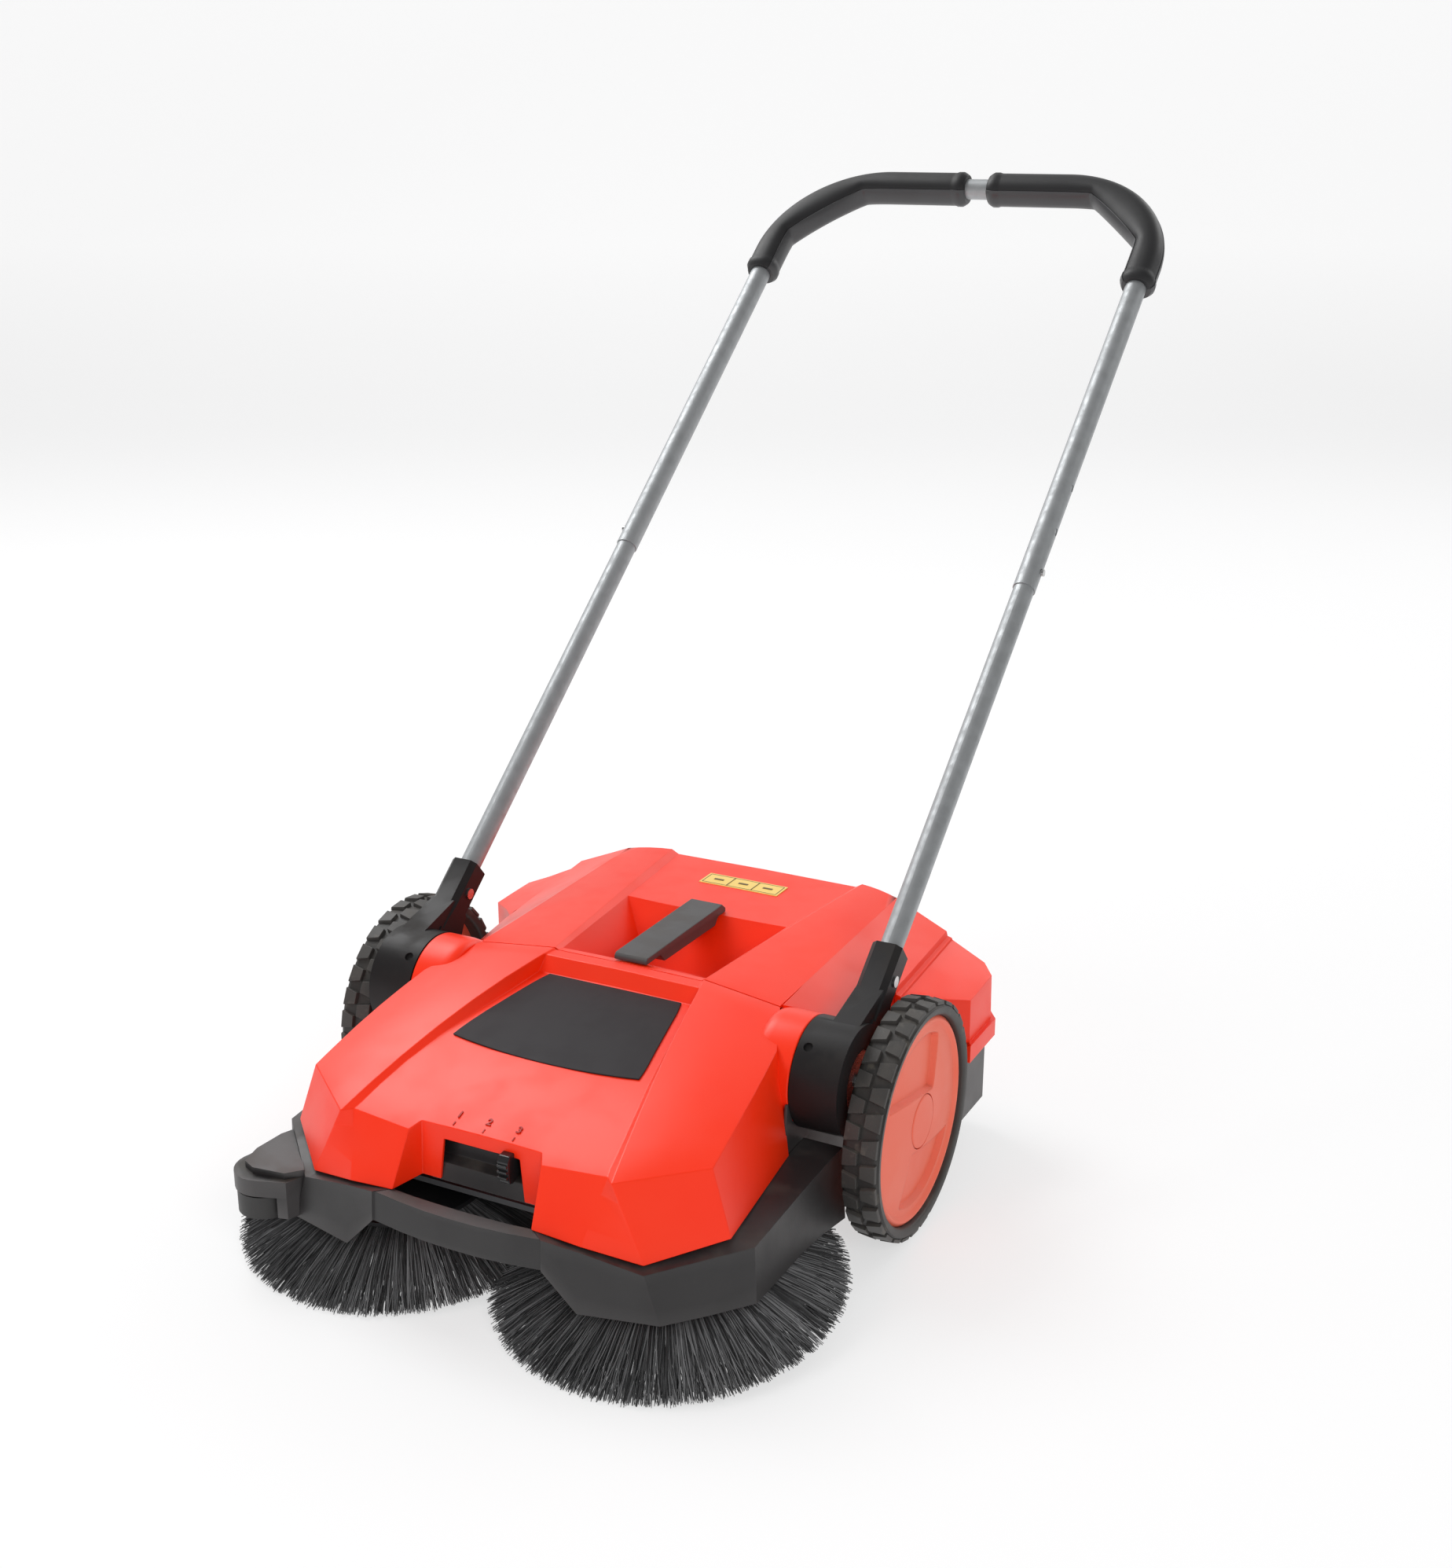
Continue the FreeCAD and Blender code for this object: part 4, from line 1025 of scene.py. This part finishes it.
def wheel_disc(side, sign):
    """Red disc: rolled rim, shallow dome and two opposite pockets beside the hub."""
    rings = [24.0, 24.6] + [25 + 1.5 * k for k in range(37)] + [80.5, 82, 83, 84.2, 86, 87.5, 89, 90.5, 91.8]
    count = 288
    place = wheel_place(sign)
    turns = [2 * math.pi * k / count for k in range(count)]
    vertices = [place(radius, disc_height(radius, angle), angle) for radius in rings for angle in turns]
    for radius in (rings[-1], rings[0]):
        vertices += [place(radius, DISC_FACE - 12, angle) for angle in turns]
    order = len(rings) + 2
    faces = []
    for j in range(order):
        for k in range(count):
            n = (k + 1) % count
            m = (j + 1) % order
            faces.append([j * count + k, j * count + n, m * count + n, m * count + k])
    piece = add_object("wheel_disc_face_" + side, vertices, faces)
    soften(piece, 0)
    dress(piece, "wheel_" + side, "wheel_red", stands_for=("wheel_disc_" + side,))
    top, foot = DISC_FACE + 5.2, DISC_FACE - 2
    profile = [(0.01, top), (21, top), (22.8, DISC_FACE + 4.9), (23.5, DISC_FACE + 4.0), (23.5, foot),
               (0.01, foot)]
    cap = lathe("hub_cap_face_" + side, profile, place, 72)
    soften(cap, 0)
    dress(cap, "wheel_" + side, "wheel_red", stands_for=("hub_cap_" + side,))


# ---------------------------------------------------------------- brushes


def strand(vertices, faces, points, radius):
    """A thin closed filament along points, three-sided and tapering to its tip."""
    base = len(vertices)
    heading = (points[-1] - points[0]).normalized()
    side = heading.cross(Vector((0, 0, 1)))
    side = side.normalized() if side.length > 0.01 else Vector((1, 0, 0))
    lift = heading.cross(side)
    last = len(points) - 1
    for k, point in enumerate(points):
        size = radius * (1 - 0.35 * k / last)
        for turn in range(3):
            angle = 2 * math.pi * turn / 3
            vertices.append(point + side * size * math.cos(angle) + lift * size * math.sin(angle))
    for k in range(last):
        for turn in range(3):
            a, b = base + 3 * k + turn, base + 3 * k + (turn + 1) % 3
            faces.append([a, b, b + 3, a + 3])
    faces.append([base, base + 1, base + 2])
    top = base + 3 * last
    faces.append([top + 2, top + 1, top])


def add_strands(name, strands, radius, body, stands_for):
    vertices = []
    faces = []
    for points in strands:
        strand(vertices, faces, points, radius * MM)
    piece = add_object(name, vertices, faces, weld=0)
    return dress(piece, body, "bristle", stands_for=stands_for)


TUFTS, PER_TUFT = 60, 92
ROOT_RADII = (71.0, 66.0, 60.0)
TIP_RADII = (145.5, 142.0, 133.0)
TIP_LEVELS = (0.8, -1.5, -3.5)
ROOT_LEVEL = 32.0
GROUND_GAP = 0.6


def brush(side, seed):
    """Ring of splayed filaments in tufts, fanning out to the ground in front."""
    joint = JOINTS["brush_" + side + "_spin"]
    origin, axis = Vector(joint["pos_m"]), Vector(joint["axis"])
    right = Vector((1, 0, 0))
    ahead = axis.cross(right)
    draw = random.Random(seed)
    strands = []

    def spot(radius, height, angle):
        out = right * math.cos(angle) + ahead * math.sin(angle)
        return origin + out * radius * MM + axis * height * MM

    for k in range(TUFTS):
        middle = 2 * math.pi * (k + 0.5) / TUFTS
        for n in range(PER_TUFT):
            layer = n % 3
            root_r = ROOT_RADII[layer] + draw.uniform(-2.2, 2.2)
            fan = draw.gauss(0, 0.32) * 2 * math.pi / TUFTS
            root = middle + draw.uniform(-0.47, 0.47) * 2 * math.pi / TUFTS
            tip_r = TIP_RADII[layer] + draw.uniform(-5, 3.0)
            tip_h = TIP_LEVELS[layer] + draw.uniform(0, 2.6)
            bow = draw.uniform(2, 7)
            floor = (tip_r * math.sin(math.atan2(-axis.y, axis.z)) - origin.z / MM) / axis.z
            tip_h = max(tip_h, floor + GROUND_GAP)
            path = []
            for step in range(4):
                t = step / 3
                radius = mix(root_r, tip_r, t)
                height = mix(ROOT_LEVEL, tip_h, t) + bow * 4 * t * (1 - t) * 0.5
                path.append(spot(radius, height, root + fan * t * t + draw.gauss(0, 0.0035) * t))
            strands.append(path)
    return add_strands("bristles_" + side, strands, 0.55, "brush_" + side, ("bristle_ring_" + side,))


def sweep_roller(seed):
    """Roller bristles in eight slightly twisted rows."""
    joint = JOINTS["roller_spin"]
    centre = Vector(joint["pos_m"])
    draw = random.Random(seed)
    low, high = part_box("roller_bristles")
    strands = []
    rows, steps, twist, core_r = 8, 92, 1.1, 13.4
    for row in range(rows):
        for step in range(steps):
            share = (step + 0.5) / steps
            x = mix(low.x, high.x, share)
            angle = 2 * math.pi * (row / rows) + twist * share
            for _ in range(3):
                lean = draw.gauss(0, 0.05)
                direction = Vector((draw.gauss(0, 0.03), math.cos(angle + lean), math.sin(angle + lean)))
                start = Vector((x + draw.uniform(-0.8, 0.8) * MM, centre.y, centre.z))
                root = start + direction * core_r * MM
                tip = root + direction * draw.uniform(22, 24.2) * MM
                strands.append([root, root + direction * 12 * MM, tip])
    return add_strands("roller_filaments", strands, 0.6, "sweep_roller", ("roller_bristles",))


# ---------------------------------------------------------------- handle

tube_low, tube_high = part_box("lower_tube_right")
HANDLE_X = (tube_low.x + tube_high.x) / 2 / MM
HANDLE_TOP = 1061.0
CORNER_R = 112.0
GRIP_START = 918.0
GRIP_GAP = 13.0
GRIP_HALF = 16.4
GRIP_BORE = 11.1
GRIP_SEAM = math.radians(38)
GRIP_TURNS = 18
CHORD_AT = 88.0
COLLAR_START, COLLAR_END = 3.5, 11


def grip_path(steps=110):
    """Centre line of the right-hand grip: point, outward direction and distance for each step."""
    leg = HANDLE_TOP - CORNER_R - GRIP_START
    arc = CORNER_R * math.pi / 2
    bar = HANDLE_X - CORNER_R - GRIP_GAP
    total = leg + arc + bar
    path = []
    for k in range(steps + 1):
        s = total * k / steps
        if s < leg:
            path.append(((HANDLE_X, GRIP_START + s), (1, 0), s))
        elif s < leg + arc:
            angle = (s - leg) / CORNER_R
            out = (math.cos(angle), math.sin(angle))
            centre = (HANDLE_X - CORNER_R, HANDLE_TOP - CORNER_R)
            path.append(((centre[0] + CORNER_R * out[0], centre[1] + CORNER_R * out[1]), out, s))
        else:
            path.append(((HANDLE_X - CORNER_R - (s - leg - arc), HANDLE_TOP), (0, 1), s))
    return path, total, leg


def grip_inner(turned):
    """How far the grip reaches towards the inside of the bend: straight runs that meet in two knuckles."""
    flat = CORNER_R - GRIP_HALF
    runs = [CHORD_AT / math.cos(turned - math.pi / 4)]
    if math.cos(turned) > 0.1:
        runs.append(flat / math.cos(turned))
    if math.sin(turned) > 0.1:
        runs.append(flat / math.sin(turned))
    return CORNER_R - min(runs)


def grip(side, sign, upper):
    """One moulding of a grip; the lower one wraps round the inside up to the seam."""
    path, total, leg = grip_path()
    end_angle = math.pi - GRIP_SEAM if upper else -math.pi - GRIP_SEAM
    angles = [end_angle * k / GRIP_TURNS for k in range(GRIP_TURNS + 1)]
    proud = 0.0 if upper else 0.8
    vertices = []
    for (x, along), out, s in path:
        end = min(s, total - s)
        collar = 0.9 if COLLAR_START < end < COLLAR_END else 0.0
        collar -= 2.2 * max(0.0, 1 - end / COLLAR_START)
        inner = grip_inner(min(max((s - leg) / CORNER_R, 0.0), math.pi / 2))
        for angle in angles:
            c, h = math.cos(angle), math.sin(angle)
            reach = (GRIP_HALF + 0.6 if c > 0 else inner) + collar + proud
            u = math.copysign(abs(c) ** 0.86, c) * reach
            lift = math.copysign(abs(h) ** 0.86, h) * (GRIP_HALF + collar + proud)
            vertices.append(on_handle(sign * (x + out[0] * u), along + out[1] * u, lift))
        for angle in reversed(angles):
            u, lift = GRIP_BORE * math.cos(angle), GRIP_BORE * math.sin(angle)
            vertices.append(on_handle(sign * (x + out[0] * u), along + out[1] * u, lift))
    ring = 2 * len(angles)
    faces = []
    for k in range(len(path) - 1):
        for j in range(ring):
            a, b = k * ring + j, k * ring + (j + 1) % ring
            faces.append([a, b, b + ring, a + ring])
    for k in range(ring // 2 - 1):
        for start in (0, (len(path) - 1) * ring):
            faces.append([start + k, start + k + 1, start + ring - 2 - k, start + ring - 1 - k])
    name = "upper" if upper else "lower"
    piece = add_object("grip_" + name + "_moulding_" + side, vertices, faces)
    soften(piece, 0.5, 40, 2)
    material = MATERIALS["grip_black"] if upper else GRIP_SATIN
    return dress(piece, "handle_upper", "grip_black", material, ("grip_" + name + "_" + side,))


# ---------------------------------------------------------------- stage, light and camera


SWEEP_HALF, SWEEP_FAR, SWEEP_BEND = 9.0, 3.9, 1.6


def stage():
    """Pale sweep: a floor that curves up into a backdrop."""
    made = Finish("pale_sweep", (0.36, 0.36, 0.362), 0.8)
    made.roughen(made.noise(0.5, 2), 0.8)
    made.set(Emission_Color=(1, 1, 1, 1), Specular_IOR_Level=0.1)
    height = made.node("ShaderNodeSeparateXYZ")
    made.join(made.node("ShaderNodeNewGeometry").outputs["Position"], height.inputs[0])
    glow = made.spread(height.outputs["Z"], 0.0, 0.5, 0.60, 0.70)
    made.join(glow, made.shader.inputs["Emission Strength"])
    material = made.done()
    angles = [math.radians(10 * k) for k in range(1, 10)]
    profile = [(-SWEEP_HALF, 0.0), (SWEEP_FAR, 0.0)]
    profile += [(SWEEP_FAR + SWEEP_BEND * math.sin(a), SWEEP_BEND * (1 - math.cos(a))) for a in angles]
    profile.append((SWEEP_FAR + SWEEP_BEND, SWEEP_HALF))
    turn = Matrix.Rotation(math.radians(CAMERA_TURN), 4, "Z")
    vertices = [turn @ Vector((x, y, z)) for y, z in profile for x in (-SWEEP_HALF, SWEEP_HALF)]
    faces = [[2 * k, 2 * k + 1, 2 * k + 3, 2 * k + 2] for k in range(len(profile) - 1)]
    floor = add_object("sweep", vertices, faces)
    if floor.data.polygons[0].normal.z < 0:
        floor.data.flip_normals()
    floor.data.shade_smooth()
    floor.data.materials.append(material)


def light(name, place, target, size, power, shines=True):
    """An area light; one that doesn't shine lights surfaces without showing in their gloss."""
    data = bpy.data.lights.new(name, "AREA")
    data.shape = "RECTANGLE"
    data.size, data.size_y = size
    data.energy = power
    lamp = bpy.data.objects.new(name, data)
    bpy.context.scene.collection.objects.link(lamp)
    lamp.location = place
    lamp.rotation_euler = (Vector(target) - Vector(place)).to_track_quat("-Z", "Y").to_euler()
    lamp.visible_glossy = shines


CAMERA_TURN = 27.47
CAMERA_TILT = 71.37
CAMERA_AT = at(811.9, -1410.5, 914.2)


def camera():
    data = bpy.data.cameras.new("camera")
    data.sensor_width = 36
    data.lens = 45.535
    view = bpy.data.objects.new("camera", data)
    bpy.context.scene.collection.objects.link(view)
    view.location = CAMERA_AT
    view.rotation_euler = (math.radians(CAMERA_TILT), 0, math.radians(CAMERA_TURN))
    bpy.context.scene.camera = view


def studio():
    world = bpy.data.worlds.new("studio")
    bpy.context.scene.world = world
    world.use_nodes = True
    tree = world.node_tree
    paths = tree.nodes.new("ShaderNodeLightPath")
    level = None
    for ray, strength in (("Is Camera Ray", 0.945), ("Is Glossy Ray", 0.22)):
        mixer = tree.nodes.new("ShaderNodeMix")
        mixer.inputs["A"].default_value = 0.42
        mixer.inputs["B"].default_value = strength
        tree.links.new(paths.outputs[ray], mixer.inputs["Factor"])
        if level:
            tree.links.new(level, mixer.inputs["A"])
        level = mixer.outputs["Result"]
    tree.links.new(level, tree.nodes["Background"].inputs["Strength"])
    tree.nodes["Background"].inputs["Color"].default_value = (1, 1, 1, 1)
    middle = (0, -0.2, 0.2)
    light("key", (-2.2, 0.6, 3.0), middle, (2.0, 2.0), 66)
    light("fill", (2.6, -2.6, 2.4), middle, (2.2, 1.6), 51, shines=False)
    light("front", (-1.4, -3.2, 1.6), middle, (1.6, 1.2), 26, shines=False)
    light("rim", (1.2, 3.0, 2.2), middle, (2.6, 1.2), 22)
    bpy.context.scene.view_settings.view_transform = "Standard"


# ---------------------------------------------------------------- build

for node, shown in frame["nodes"].items():
    shown.data.materials.clear()
    shown.data.materials.append(MATERIALS[SLOT_OF[node]])

front_hood()
nameplate()
for spot, digit in MARKS:
    number_mark(spot, digit)
    tick_mark(spot, digit)
adjuster_window()
adjuster_knob()
hopper_lid()
info_prints()
skirt()
guide_arm()
for number, (side, sign) in enumerate(SIDES):
    hood_cowl(side, sign)
    under_drum(side, sign)
    tyre_body(side, sign)
    tyre_tread(side, sign)
    wheel_disc(side, sign)
    brush(side, 11 + number)
    grip(side, sign, True)
    grip(side, sign, False)
    refine("handle_bracket_" + side, 1.2, BRACKET)
sweep_roller(5)
for node in ("hopper_bin", "carry_handle"):
    refine(node, 1.0)

stage()
studio()
camera()
